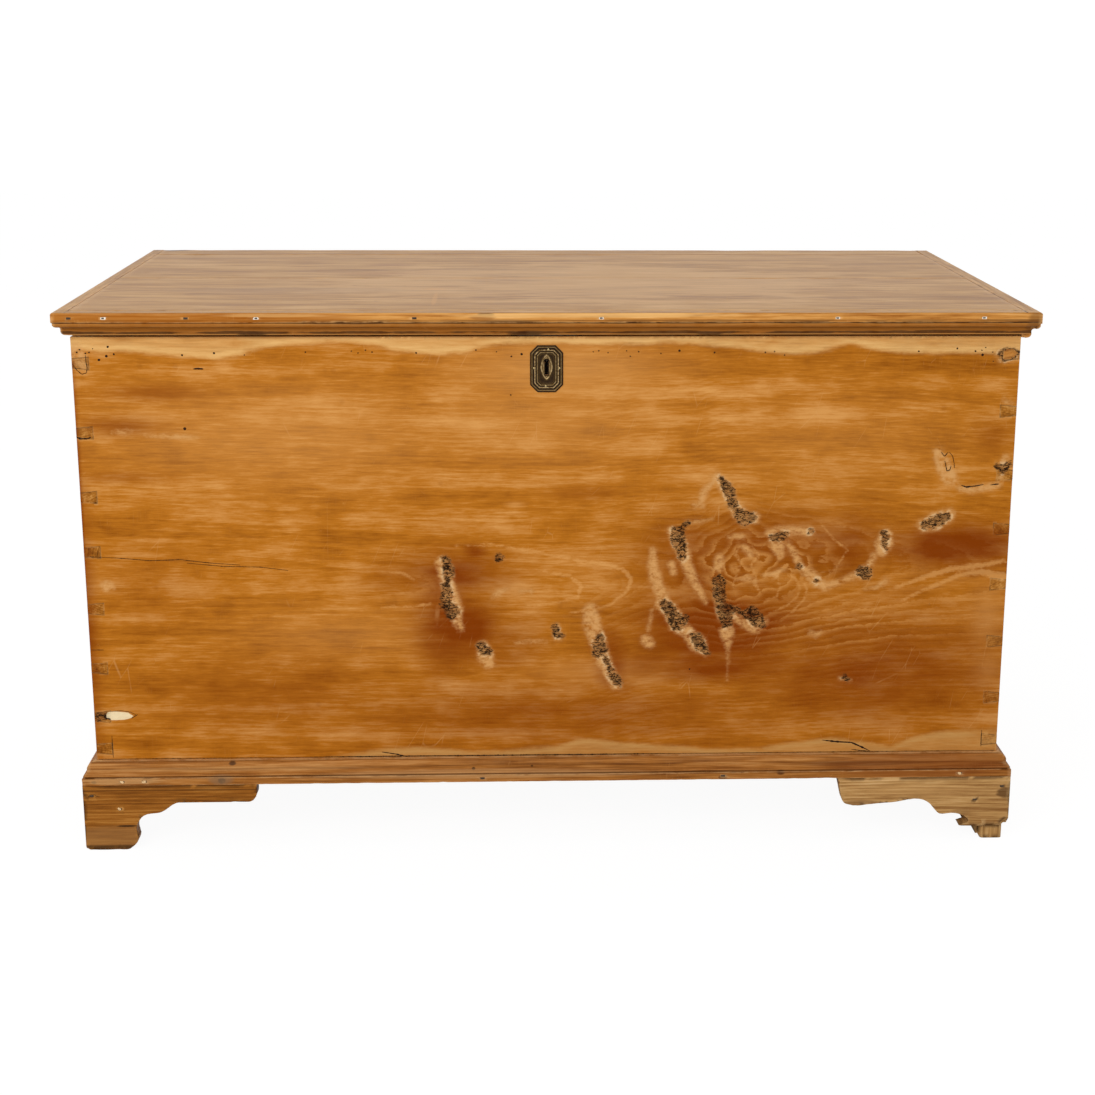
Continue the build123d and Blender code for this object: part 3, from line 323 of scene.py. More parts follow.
@dataclass(frozen=True)
class Pine:
    """Old pine: growth rings round a wandering pith, fibres, blotches, worn arrises, and dirt and painted
    shade in hollows.

    Lengths are in millimetres. pith is the pith's place across the grain, read in the grain's axis order.
    """

    name: str
    grain: Grain
    pith: tuple[float, float]
    pale: Colour = (206, 146, 74)
    honey: Colour = (188, 122, 46)
    dark: Colour = (146, 82, 18)
    worn: Colour = (222, 168, 102)
    # Dark of dirt and of painted shade in hollows and joints
    grime_and_shade: Colour = (58, 28, 6)
    ring: float = 4.5
    wander: float = 14.0
    rings: float = 0.45
    fibre: float = 0.55
    fine: float = 0.8
    blotch: float = 0.5
    seed: float = 0.0
    rough: float = 0.5
    specular: float = 0.2
    relief: float = 1.0
    wear: float = 0.6
    # How dark the hollows grow, with dirt and painted shade
    soil: float = 0.85
    scuffs: float = 0.3
    ring_attribute: str = ""
    patches: tuple[Patch, ...] = ()
    # Tone of plain wood, and heights of streaks, fibres and late wood
    plain: float = 0.42
    heights: tuple[float, float, float] = (0.10, 0.07, -0.04)
    # Periods in each millimetre, along and across the fibres
    streaks: tuple[float, float] = (0.0075, 0.34)
    clouds: tuple[float, float] = (0.0045, 0.016)
    fibres: tuple[float, float] = (0.03, 1.5)
    drifts: tuple[float, float] = (0.0022, 0.045)
    wiggles: tuple[float, float] = (0.011, 0.045)

    def build(self) -> bpy.types.Material:
        """Makes the material."""
        s = Shade(self.name)
        place = s.place()
        axes = s.axes(place)
        u, v, w = (axes[index] for index in self.grain.value)
        late = self.late_wood(s, u, v, w)
        streak = self.stretched(s, (u, v, w), self.streaks, 5.0)
        fine = self.stretched(s, (u, v, w), self.fibres, 3.0)
        cloud = self.stretched(s, (u, v, w), self.clouds, 5.0)
        drift = self.stretched(s, (u, v, w), self.drifts, 4.0)
        tone = s.total(
            self.plain, s.times(late, self.rings), s.centred(streak, self.fibre * 1.5),
            s.centred(fine, self.fibre * self.fine), s.centred(cloud, self.blotch * 1.2),
            s.centred(drift, self.blotch * 1.2),
        )
        colour = s.ramp(tone, (0.0, self.pale), (0.45, self.honey), (1.0, self.dark))
        uneven = s.total(s.centred(cloud, 3.0), s.centred(streak, 2.0))
        for patch in self.patches:
            colour = patch.lay(s, axes, uneven, colour)
        height = s.total(*(s.times(value, by) for value, by in zip((streak, fine, late), self.heights)))
        rough = s.math("ADD", s.centred(streak, 0.16), self.rough, clamp=True)
        colour, height, rough = self.handle(s, place, colour, height, rough, cloud)
        colour, height, rough = self.mark(s, place, colour, height, rough, streak)
        return s.surface(colour, rough, s.relief(height, self.relief), specular=self.specular)

    def stretched(
        self, s: Shade, place: Sequence[Value], periods: tuple[float, float], detail: float
    ) -> Socket:
        """Noise drawn out along the fibres."""
        u, v, w = place
        long, short = periods
        depth = s.total(s.times(w, short), self.seed)
        return s.grit(s.vector(s.times(u, long), s.times(v, short), depth), detail, 0.62)

    def late_wood(self, s: Shade, u: Value, v: Value, w: Value) -> Socket:
        """Dark outer part of each growth ring, from 0 to 1."""
        long, short = self.wiggles
        bends = s.vector(s.times(u, long), s.times(v, short), s.times(w, short))
        wiggle = s.centred(s.grit(bends, 2.0), 0.5)
        if self.ring_attribute:
            phase = s.total(s.attribute(self.ring_attribute), wiggle)
        else:
            drift = s.noise(s.vector(s.times(u, 0.0021), self.seed, 0.0), 2.0).outputs["Color"]
            across = s.axes(drift)
            v1 = s.total(v, -self.pith[0], s.centred(across[0], 2 * self.wander))
            w1 = s.total(w, -self.pith[1], s.centred(across[1], 2 * self.wander))
            radius = s.math("SQRT", s.total(s.times(v1, v1), s.times(w1, w1)))
            phase = s.total(s.times(radius, 1 / self.ring), wiggle)
        share = s.math("FRACT", phase)
        luck = s.luck(s.total(s.math("FLOOR", phase), self.seed))
        band = s.times(s.step(share, 0.25, 0.9), s.step(share, 1.0, 0.93))
        return s.times(band, s.fit(luck, 0.7, 0.35))

    def handle(
        self, s: Shade, place: Value, colour: Value, height: Value, rough: Value, cloud: Value
    ) -> tuple[Value, Value, Value]:
        """Worn arrises, dirt and painted shade in hollows, bruises and scratches from long use."""
        patch = s.grit(s.scaled(place, 0.06), 4.0, 0.65)
        proud = s.times(s.attribute("proud"), s.step(patch, 0.3, 0.62))
        hollow = s.times(s.attribute("hollow"), s.fit(patch, 0.5, 0.75))
        colour = s.mix(s.times(proud, self.wear), colour, self.worn)
        # Dirt and painted shade in the hollows
        colour = s.mix(s.times(hollow, self.soil), colour, self.grime_and_shade)
        bruise = s.step(s.cells(s.scaled(place, 0.021)), 0.1, 0.02)
        scratch = s.step(s.cells(s.scaled(place, 0.19, 0.004, 0.012), "DISTANCE_TO_EDGE"), 0.012, 0.002)
        scratch = s.times(scratch, s.step(cloud, 0.52, 0.66), self.scuffs)
        colour = s.mix(s.times(scratch, 0.7), colour, self.pale)
        colour = s.mix(s.times(bruise, 0.25), colour, self.dark)
        height = s.total(height, s.times(bruise, -0.25), s.times(scratch, -0.08))
        return colour, height, s.total(rough, s.times(scratch, 0.2))

    def mark(
        self, s: Shade, place: Value, colour: Value, height: Value, rough: Value, streak: Value
    ) -> tuple[Value, Value, Value]:
        """Marks that only some boards have."""
        return colour, height, rough


@dataclass(frozen=True)
class MarkedPine(Pine):
    """Front of the chest: pine with sapwood edges, red-brown stains, gouged scars and black cores, painted
    sheen, painted shade along the left arris and in the joints, and painted highlights round the scars.
    """

    sap: Colour = (232, 186, 118)
    sap_low: Colour = (196, 148, 86)
    # Red-brown of the stains, also the painted shade along the left arris
    stain: Colour = (126, 52, 0)
    bare: Colour = (214, 160, 98)
    ash: Colour = (160, 108, 58)
    soot: Colour = (96, 60, 30)
    vein: Colour = (224, 166, 98)
    char: Colour = (30, 16, 8)
    # Pale of chipped wood, also the painted highlight round the scars' black cores
    chip: Colour = (240, 220, 178)

    def mark(
        self, s: Shade, place: Value, colour: Value, height: Value, rough: Value, streak: Value
    ) -> tuple[Value, Value, Value]:
        """Lays the front's own marks over the plain board."""
        ragged = s.centred(s.grit(s.scaled(place, 0.16, 0.16, 0.3), 4.0, 0.65), 2.0)
        blur = s.centred(s.grit(s.scaled(place, 0.02, 0.02, 0.06), 4.0), 2.0)
        fuzz = s.centred(s.grit(s.scaled(place, 0.1, 0.1, 1.1), 3.0, 0.7), 2.0)
        # Stains, and painted shade along the left arris
        stain = s.math("ADD", s.attribute("stain"), s.times(blur, s.attribute("stain"), 0.5), clamp=True)
        stain = s.times(stain, s.fit(streak, 1.2, 0.62, clamp=True))
        stain = s.math("MULTIPLY", stain, 1.3, clamp=True)
        # Painted sheen: pale patches where the wax catches the light
        haze = s.times(s.attribute("haze"), s.fit(streak, -0.7, 1.2, clamp=True))
        colour = s.mix(haze, colour, self.pale)
        colour = s.mix(s.times(stain, 0.96), colour, self.stain)
        colour = s.mix(self.pale_lines(s, ragged, fuzz, blur), colour, self.pale)
        vein = s.total(s.attribute("vein"), s.times(ragged, 3.4), s.times(fuzz, 1.6), s.times(blur, 1.2))
        colour = s.mix(s.times(s.step(vein, 1.8, -1.6), 0.45), colour, self.vein)
        edge = s.total(s.attribute("sap"), s.times(blur, 4.0), s.times(ragged, 1.6), s.times(fuzz, 0.8))
        sap = s.times(s.step(edge, -3.0, 5.0), s.fit(s.step(edge, 12.0, 3.0), 0.35, 0.6))
        sap = s.times(sap, s.fit(s.step(blur, -0.6, 0.0), 0.6, 0.4))
        fresh = s.mix(s.step(s.axes(place)[2], 200.0, 400.0), self.sap_low, self.sap)
        colour = s.mix(s.times(sap, s.fit(streak, -1.1, 1.4, clamp=True)), colour, fresh)
        lip = s.times(s.step(edge, -4.0, -0.5), s.step(edge, 0.6, -0.4), 0.15)
        colour = s.mix(lip, colour, self.dark)
        colour = s.mix(self.scratches(s, place), colour, self.bare)
        mottle = s.grit(s.scaled(place, 0.11, 0.11, 0.17), 4.0, 0.7)
        halo = s.total(s.attribute("bare"), s.times(ragged, 3.0), s.times(blur, 1.5), s.times(fuzz, 1.8))
        halo = s.times(s.step(halo, 2.6, -4.6), s.step(mottle, 0.25, 0.6, 0.9))
        colour = s.mix(halo, colour, s.mix(s.step(fuzz, 0.05, 0.7, 0.7), self.bare, self.honey))
        # Painted highlight: a pale ring round each scar's black core
        rim = s.total(s.attribute("core"), s.times(ragged, 1.8))
        rim = s.times(s.step(rim, 4.6, 2.4), s.step(rim, -0.4, 1.4), s.step(halo, 0.2, 0.6))
        rim = s.times(rim, s.step(mottle, 0.42, 0.6))
        colour = s.mix(s.times(rim, 0.28), colour, self.chip)
        colour, height, core = self.scorch(s, place, colour, height, ragged)
        # Painted shade in the dovetails' joint lines
        seam = s.step(s.total(s.attribute("seam"), s.times(ragged, 0.35)), 0.75, 0.15)
        seam = s.times(seam, s.step(s.grit(s.scaled(place, 0.09), 2.0), 0.34, 0.52))
        colour = s.mix(s.times(seam, 0.42), colour, self.grime_and_shade)
        chip = s.step(s.total(s.attribute("chip"), s.times(ragged, 0.8), s.times(fuzz, 0.4)), 0.5, -0.5)
        colour = s.mix(s.times(chip, s.fit(ragged, 0.2, 0.9, clamp=True)), colour, self.chip)
        height = s.total(height, s.times(halo, -0.15), s.times(seam, -0.4), s.times(fuzz, 0.04))
        rough = s.math("MAXIMUM", rough, s.times(s.math("MAXIMUM", halo, core), 0.75))
        return colour, height, rough

    def scratches(self, s: Shade, place: Value) -> Socket:
        """Fine slanting scratches."""
        x, y, z = s.axes(place)
        slanted = s.vector(s.times(s.total(x, s.times(z, -0.4)), 0.045), s.times(y, 0.01), s.times(z, 0.012))
        lines = s.step(s.cells(slanted, "DISTANCE_TO_EDGE"), 0.016, 0.003)
        return s.times(lines, s.step(s.grit(s.scaled(place, 0.02), 3.0), 0.58, 0.7), 0.3)

    def pale_lines(self, s: Shade, ragged: Value, fuzz: Value, blur: Value) -> Socket:
        """Pale inner edge of each ring, sharp on one side, seen where stain has darkened the wood between."""
        phase = s.total(s.times(s.attribute("ring"), 0.8), s.times(ragged, 0.3), s.times(fuzz, 0.1))
        phase = s.total(phase, s.times(blur, 0.5))
        share = s.math("FRACT", phase)
        luck = s.luck(s.math("FLOOR", phase))
        line = s.times(s.step(share, 0.0, 0.1), s.step(share, 0.75, 0.1))
        line = s.times(line, s.fit(luck, 0.8, 0.3, clamp=True), s.step(ragged, -0.6, 0.2))
        return s.times(line, s.attribute("figure"), 0.9)

    def scorch(
        self, s: Shade, place: Value, colour: Value, height: Value, ragged: Value
    ) -> tuple[Value, Value, Value]:
        """Black ticks and cracks in the scars' cores."""
        bend = s.noise(s.scaled(place, 0.2), 4.0, 0.7).outputs["Color"]
        bent = s.vectors("ADD", place, s.scaled(bend, 6.0))
        wave = s.grit(s.scaled(bent, 0.05, 0.05, 0.3), 2.0, 0.5)
        ticks = s.step(s.math("PINGPONG", s.times(wave, 7.0), 0.5), 0.16, 0.07)
        net = s.step(s.cells(s.scaled(bent, 0.1, 0.1, 0.2), "DISTANCE_TO_EDGE"), 0.06, 0.015)
        solid = s.step(s.grit(s.scaled(place, 0.12, 0.12, 0.14), 4.0, 0.7), 0.56, 0.61)
        distance = s.total(s.attribute("core"), s.times(ragged, 5.0))
        core = s.step(distance, 2.0, -0.4)
        deep = s.step(distance, 0.5, -1.6)
        broken = s.step(s.grit(s.scaled(place, 0.1, 0.1, 0.14), 3.0, 0.6), 0.4, 0.5)
        lines = s.math("MAXIMUM", s.times(net, broken), ticks)
        black = s.math("MAXIMUM", s.times(core, lines), s.times(solid, deep))
        burnt = s.mix(s.times(s.step(solid, 0.0, 1.0), deep), self.ash, self.soot)
        burnt = s.mix(s.step(s.grit(s.scaled(place, 0.06), 3.0), 0.45, 0.6), burnt, self.soot)
        colour = s.mix(s.times(core, 0.6), colour, burnt)
        colour = s.mix(s.times(black, 0.95), colour, self.char)
        return colour, s.total(height, s.times(black, -0.5), s.times(core, ragged, 0.3)), core


@dataclass(frozen=True)
class Metal:
    """Old metal: patina in the hollows, bright where hands and keys rub."""

    name: str
    base: Colour
    patina: Colour
    bright: Colour
    metallic: float = 0.85
    rough: float = 0.42
    grain: float = 0.5
    rubbed: float = 0.8
    soiled: float = 0.9
    relief: float = 0.6
    arris: float = 0.0003
    cloud: float = 0.14
    specular: float = 0.08

    def build(self) -> bpy.types.Material:
        """Makes the material."""
        s = Shade(self.name)
        place = s.place()
        cloud = s.grit(s.scaled(place, self.cloud), 5.0, 0.65)
        speck = s.grit(s.scaled(place, 1.7), 3.0, 0.7)
        colour = s.mix(s.times(s.step(cloud, 0.35, 0.7), self.grain), self.base, self.patina)
        uneven = s.fit(cloud, 0.6, 0.7, clamp=True)
        dirt = s.times(s.attribute("hollow"), self.soiled, uneven)
        colour = s.mix(dirt, colour, self.patina)
        rub = s.times(s.attribute("proud"), s.step(cloud, 0.36, 0.6), self.rubbed)
        colour = s.mix(rub, colour, self.bright)
        colour = s.mix(s.step(speck, 0.62, 0.75, 0.5), colour, self.patina)
        dull = s.total(s.times(s.step(cloud, 0.35, 0.7), 0.3), s.times(rub, -0.15))
        rough = s.math("ADD", dull, self.rough, clamp=True)
        crust = s.math("MAXIMUM", s.step(speck, 0.6, 0.8, 0.5), dirt)
        metal = s.math("MAXIMUM", s.fit(crust, -0.8, self.metallic), 0.0)
        height = s.total(s.times(speck, 0.05), s.times(cloud, 0.12))
        return s.surface(colour, rough, s.relief(height, self.relief, self.arris), metal, self.specular)


@dataclass(frozen=True)
class Putty:
    """Dry white filler pressed over nail heads; in dark colours, the painted shade of cracks and worm holes.
    """

    name: str
    white: Colour = (244, 236, 220)
    dirty: Colour = (190, 160, 120)

    def build(self) -> bpy.types.Material:
        """Makes the material."""
        s = Shade(self.name)
        place = s.place()
        cloud = s.grit(s.scaled(place, 0.35), 4.0, 0.7)
        grain = s.grit(s.scaled(place, 1.6), 2.0, 0.6)
        colour = s.mix(s.step(cloud, 0.45, 0.75), self.white, self.dirty)
        height = s.total(s.times(cloud, 0.3), s.times(grain, 0.08))
        return s.surface(colour, 0.9, s.relief(height), specular=0.12)


Finish = Union[Pine, Metal, Putty]


def pine_pair(outside: Pine, **inside: object) -> list[Pine]:
    """A waxed outside and the same board's bare inside."""
    bare = {
        "name": outside.name + "_inside", "pale": (214, 174, 122), "honey": (196, 152, 98),
        "dark": (150, 104, 58), "rough": 0.75, "specular": 0.12, "wear": 0.2, "relief": 1.6, "scuffs": 0.6,
    }
    return [outside, replace(outside, **{**bare, **inside})]


def signed_distance(points: Array, stroke: Stroke) -> Array:
    """Distance of points (x, z) from a stroke of changing radius, below 0 inside it."""
    best = np.full(len(points), 1e9)
    ends = [*stroke[1:], stroke[-1]]
    for (x0, z0, r0), (x1, z1, r1) in zip(stroke, ends):
        start = np.array((x0, z0))
        way = np.array((x1 - x0, z1 - z0))
        share = np.clip(((points - start) @ way) / max(way @ way, 1e-9), 0, 1)
        near = start + share[:, None] * way
        gap = np.hypot(*(points - near).T) - (r0 + share * (r1 - r0))
        best = np.minimum(best, gap)
    return best


def bell(points: Array, x: float, z: float, wide: float, high: float) -> Array:
    """Soft round patch, 1 in its middle."""
    return np.exp(-(((points[:, 0] - x) / wide) ** 2 + ((points[:, 1] - z) / high) ** 2))


@dataclass
class FrontMarks:
    """Where the marks of the chest's front are, in millimetres (x, height) on its face."""

    bare: tuple[Stroke, ...] = (
        ((182, 424, 6.8), (191, 414, 8.4), (197, 400, 6.8), (205, 386, 8.4), (213, 379, 9.2),
         (224, 379, 6.8)),
        ((180, 422, 2.8), (168, 409, 4.8), (163, 395, 2.8)), ((157, 393, 3.2), (165, 393, 3.6)),
        ((133, 365, 6), (139, 355, 8.4), (145, 341, 8.8), (150, 326, 6.8), (157, 310, 6), (165, 294, 4.8),
         (172, 282, 1.8)),
        ((149, 374, 2), (164, 375, 1.4), (178, 378, 0.8)),
        ((112, 343, 4), (112, 322, 6.4), (118, 302, 7.2), (125, 285, 6.8)), ((133, 326, 5), (135, 318, 4)),
        ((123, 280, 8), (133, 273, 10), (139, 258, 10.4), (153, 247, 8), (163, 235, 11.2), (173, 222, 4.4)),
        ((112, 273, 2.4), (108, 250, 2)), ((106, 238, 7), (109, 235, 6.6)),
        ((187, 334, 4.8), (185, 322, 6)), ((183, 303, 4.4), (185, 285, 4.4), (191, 266, 6.8)),
        ((196, 248, 8.8), (197, 239, 6), (198, 222, 1.6), (198, 190, 0.6)),
        ((201, 268, 4.8), (214, 259, 6.4), (228, 254, 8.8), (238, 259, 5.2)),
        ((240, 362, 4.8), (253, 363, 6.8), (269, 364, 5.2), (286, 363, 6)),
        ((246, 354, 6), (251, 345, 8), (254, 335, 4)),
        ((262, 350, 3.2), (270, 337, 4), (276, 324, 4), (286, 315, 6.8), (296, 306, 7.2), (305, 299, 5.2)),
        ((305, 299, 5.2), (317, 304, 4), (330, 309, 4), (342, 313, 5.2), (349, 315, 8.8)),
        ((354, 324, 3.6), (358, 335, 3.6)), ((351, 297, 2), (362, 298, 3), (373, 305, 3.4)),
        ((371, 358, 7.6), (369, 348, 10), (367, 341, 6.8)), ((197, 357, 2.8), (210, 358, 3.6)),
        ((205, 308, 1.6), (217, 310, 4), (227, 306, 2.4)),
        ((235, 313, 1.6), (249, 315, 4.4), (258, 320, 2.8)), ((214, 346, 4.2), (221, 336, 3)),
        ((290, 246, 3), (297, 243, 3), (303, 247, 2)), ((326, 192, 2.4), (338, 189, 2.4)),
        ((-120, 329, 8.2), (-117, 321, 9.7), (-115, 304, 8.9), (-110, 285, 9.3), (-107, 274, 8.9),
         (-105, 261, 5.9), (-101, 253, 4.1)),
        ((-77, 233, 7.1), (-74, 221, 10), (-71, 213, 7.8)), ((6, 254, 4.5), (7, 244, 5.9)),
        ((43, 273, 8.5), (45, 257, 10.8), (51, 240, 10.4), (56, 220, 8.9), (64, 203, 8.2), (72, 187, 7.8)),
        ((-40, 236, 0.9), (-25, 238, 2.2), (-6, 238, 1.5)),
        ((-66, 290, 1.5), (-58, 295, 4), (-50, 299, 1.5)), ((-33, 296, 1.9), (-23, 296, 2.2)),
        ((425, 451, 6.7), (431, 438, 9), (439, 423, 9)),
        ((451, 411, 3.4), (464, 410, 4.5), (479, 412, 4.5), (493, 415, 4.5), (496, 426, 3.4)),
        ((413, 369, 8), (426, 374, 11), (440, 381, 8)),
        ((-506, 567, 7.8), (-502, 556, 7.8), (-498, 549, 4.5)), ((-489, 305, 7), (-483, 304, 5)),
        ((-470, 477, 3.5), (-457, 478, 3.5), (-452, 479, 2.4)),
        ((-438, 474, 2), (-411, 473, 2.6), (-379, 471, 1.2)), ((498, 437, 5), (500, 446, 4)),
        ((495, 510, 3), (503, 506, 3)), ((491, 560, 9), (502, 561, 8)),
    )
    core: tuple[Stroke, ...] = (
        ((185, 424, 2), (193, 414, 5), (197, 404, 4.4), (199, 394, 5.2)),
        ((206, 385, 4), (212, 379, 6.8), (220, 379, 5.2), (215, 374, 2.8)),
        ((150, 373, 1.8), (144, 367, 2.4), (138, 364, 5.2), (140, 355, 7), (144, 343, 5.2), (145, 335, 4)),
        ((125, 281, 3.6), (131, 275, 6.4), (137, 262, 6.8), (141, 255, 6), (149, 264, 3.6)),
        ((157, 244, 2.8), (163, 240, 5.6), (167, 231, 5.2), (175, 223, 2.8)),
        ((186, 306, 6.8), (187, 293, 6), (189, 281, 6), (194, 269, 7.2), (196, 258, 5.6)),
        ((200, 276, 2.8), (212, 269, 2.4), (224, 269, 7.2), (229, 262, 7.2), (235, 255, 3.6)),
        ((244, 356, 2), (254, 357, 4), (259, 360, 3)), ((287, 363, 2.2),), ((276, 323, 2.6),),
        ((296, 306, 2.2),), ((345, 317, 4.8), (350, 315, 6.8), (352, 312, 4.4)),
        ((368, 361, 2), (371, 356, 3.4), (370, 348, 2.4), (372, 341, 0.8)),
        ((331, 193, 2.8), (335, 189, 2.4)),
        ((-117, 333, 3.7), (-115, 326, 4.8), (-113, 322, 4.8), (-114, 313, 4.8)),
        ((-117, 303, 4.1), (-116, 290, 6.3), (-118, 281, 4.8), (-110, 274, 7.1), (-111, 269, 4.8)),
        ((-79, 233, 4.5), (-77, 228, 4.8), (-71, 226, 3.7)), ((4, 254, 3), (5, 246, 3.3), (12, 244, 2.2)),
        ((54, 242, 3.3), (53, 232, 7.4), (58, 228, 4.1), (51, 224, 4.8)),
        ((60, 218, 1.9), (65, 206, 2.2), (69, 196, 4.5), (74, 190, 4.5), (76, 187, 2.6)), ((-58, 335, 4),),
        ((415, 370, 4.5), (426, 373, 6), (437, 379, 4.5)), ((-506, 154, 4.5), (-500, 155, 4)),
        ((491, 436, 2.2), (499, 433, 4), (505, 438, 3)), ((492, 560, 6), (500, 561, 6), (505, 562, 3)),
    )
    chips: tuple[Stroke, ...] = (
        ((-493, 154.5, 4.8), (-483, 154.4, 5.2), (-474, 154.4, 3.6), (-468, 154.3, 0.8)),
    )
    # Pale outlines that follow the figure
    veins: tuple[Stroke, ...] = (
        ((-106, 350, 0.4), (-66, 350, 0.8), (-13, 341, 1), (31, 331, 1.2), (65, 326, 1.4), (83, 318, 1.6)),
        ((83, 318, 1.6), (88, 309, 1.6), (84, 296, 1.4), (67, 281, 1), (43, 274, 0.8), (20, 271, 0.4)),
        ((-18, 321, 0.4), (0, 317, 1.2), (20, 314, 1.6), (33, 302, 1.8), (29, 290, 1.4), (11, 284, 0.8),
         (-30, 278, 0.3)),
        ((-187, 320, 0.8), (-165, 319, 1.2), (-152, 310, 0.8)),
        ((-188, 279, 1), (-155, 279, 0.8), (-135, 283, 0.6)),
        ((209, 347, 0.2), (203, 338, 0.8), (210, 328, 0.6), (206, 314, 0.2), (202, 305, 0.2),
         (203, 296, 0)),
        ((222, 347, 0.2), (230, 336, 0.8), (222, 326, 0.4), (227, 312, 0.4), (226, 303, 1),
         (232, 294, 0.2)),
        ((252, 318, 0.8), (251, 309, 0.6), (255, 300, 0.4), (251, 288, 0.4), (237, 282, 0)),
        ((263, 314, 0.2), (272, 309, 0.6), (277, 298, 0.4), (274, 287, 0.4), (262, 277, 0.4),
         (242, 268, 0)),
        ((281, 305, 0.2), (285, 296, 0.4), (282, 285, 0.4), (271, 272, 0.4), (256, 259, 0)),
        ((297, 373, 0), (314, 353, 0.6), (329, 342, 0.6), (315, 319, 0.4), (299, 316, 0.2)),
        ((384, 298, 1), (411, 308, 2.2), (445, 319, 2.8), (478, 323, 2.4), (506, 328, 1.6)),
        ((393, 283, 0.8), (426, 299, 1.8), (456, 312, 2.2), (481, 315, 3), (504, 309, 5)),
    )
    # Red-brown stains, broad patches that darken the lower front, and painted shade along the left arris (x
    # -513)
    stains_and_shade: Spots = (
        (-110, 316, 62, 30, 0.7), (-86, 342, 16, 9, 0.8), (-100, 254, 43, 43, 0.85),
        (165, 325, 76, 56, 0.6), (183, 259, 65, 51, 0.95), (155, 205, 49, 23, 0.55), (68, 215, 26, 51, 0.6),
        (98, 332, 32, 23, 0.2), (247, 367, 97, 25, 0.5), (331, 347, 49, 40, 0.6), (432, 347, 65, 23, 0.65),
        (483, 346, 27, 28, 0.5), (77, 180, 32, 18, 0.4), (277, 284, 65, 32, 0.25), (-167, 310, 43, 23, 0.3),
        (390, 283, 65, 34, 0.2), (-119, 266, 36, 66, 0.75), (-54, 236, 54, 36, 0.4),
        (188, 254, 105, 54, 0.9), (189, 210, 135, 27, 0.7), (251, 350, 135, 36, 0.6),
        (450, 346, 78, 27, 0.95), (400, 345, 110, 26, 0.6), (360, 203, 165, 75, 0.6),
        (20, 150, 290, 45, 0.45), (-306, 175, 150, 50, 0.3), (-464, 484, 45, 11, 0.45),
        (-426, 520, 54, 9, 0.4), (-467, 428, 54, 7, 0.3), (38, 408, 36, 9, 0.3), (158, 350, 54, 27, 0.6),
        (-513, 259, 12, 162, 0.6), (-513, 330, 5, 300, 0.85), (484, 470, 22, 18, 0.35),
        (470, 200, 60, 80, 0.4), (-440, 300, 60, 60, 0.15),
    )
    # Painted sheen: pale patches where the wax catches the light
    painted_sheens: Spots = (
        (-295, 474, 180, 54, 0.45), (-16, 491, 135, 54, 0.4), (10, 545, 110, 34, 0.75),
        (58, 203, 72, 13, 0.5), (-230, 247, 108, 27, 0.3), (489, 261, 18, 36, 0.6), (493, 202, 16, 20, 0.6),
        (300, 470, 150, 50, 0.2), (-40, 395, 9, 3, 0.8), (-505, 306, 12, 12, 0.3),
    )
    figures: Spots = (
        (235, 322, 120, 52, 0.85), (330, 262, 120, 45, 0.55), (60, 300, 60, 42, 0.45),
        (-150, 295, 50, 40, 0.3), (-330, 320, 150, 50, 0.12), (440, 300, 80, 40, 0.35),
        (200, 390, 120, 25, 0.25),
    )
    sap_top: Line = (
        (-513, 568), (-480, 564), (-449, 565), (-428, 563), (-391, 559), (-359, 557), (-333, 561),
        (-309, 568), (-268, 573), (-236, 574), (-189, 571), (-170, 566), (-130, 562), (-91, 563),
        (-55, 572), (9, 572), (52, 571), (149, 572), (198, 567), (241, 562), (269, 561), (296, 564),
        (323, 570), (339, 567), (377, 563), (432, 561), (487, 561), (506, 562),
    )
    sap_bottom: Line = (
        (-511, 98), (-284, 98), (-245, 105), (-194, 111), (-149, 114), (-93, 110), (-59, 109), (9, 114),
        (32, 123), (77, 118), (146, 114), (174, 109), (237, 109), (271, 116), (317, 121), (351, 117),
        (386, 109), (403, 116), (420, 123), (449, 127), (508, 131),
    )
    # Pith below the face: x, height, depth. Near parts make arches and closed rings
    pith: Stroke = (
        (-513, 322, 38), (-310, 312, 44), (-139, 304, 50), (42, 300, 55), (94, 314, 61), (125, 318, 66),
        (160, 322, 68), (182, 326, 58), (205, 326, 48), (228, 326, 53), (253, 326, 58), (270, 326, 62),
        (299, 328, 67), (327, 330, 72), (383, 330, 80), (508, 320, 92),
    )
    ring: float = 5.0
    # Swirl round the knot: x, height and half sizes
    knot: tuple[float, float, float, float] = (235, 322, 110, 56)
    # Reach of the strokes' distances
    reach: float = 40.0
    # Uneven growth round the knot and uneven planing, and the depths of gouges and of their cores
    growth: float = 9.0
    planing: float = 0.12
    gouged: float = 0.4
    cored: float = 0.7
    pin_shares: dict[int, tuple[float, ...]] = field(
        default_factory=lambda: {
            -1: (0.058, 0.212, 0.358, 0.484, 0.616, 0.756, 0.872, 0.950),
            1: (0.041, 0.169, 0.315, 0.441, 0.571, 0.708, 0.844, 0.948),
        }
    )
    left: float = -511.0
    right: float = 509.0
    board: float = 18.0
    low: float = 91.0
    high: float = 580.5
    pin_wide: float = 14.0
    pin_narrow: float = 10.0

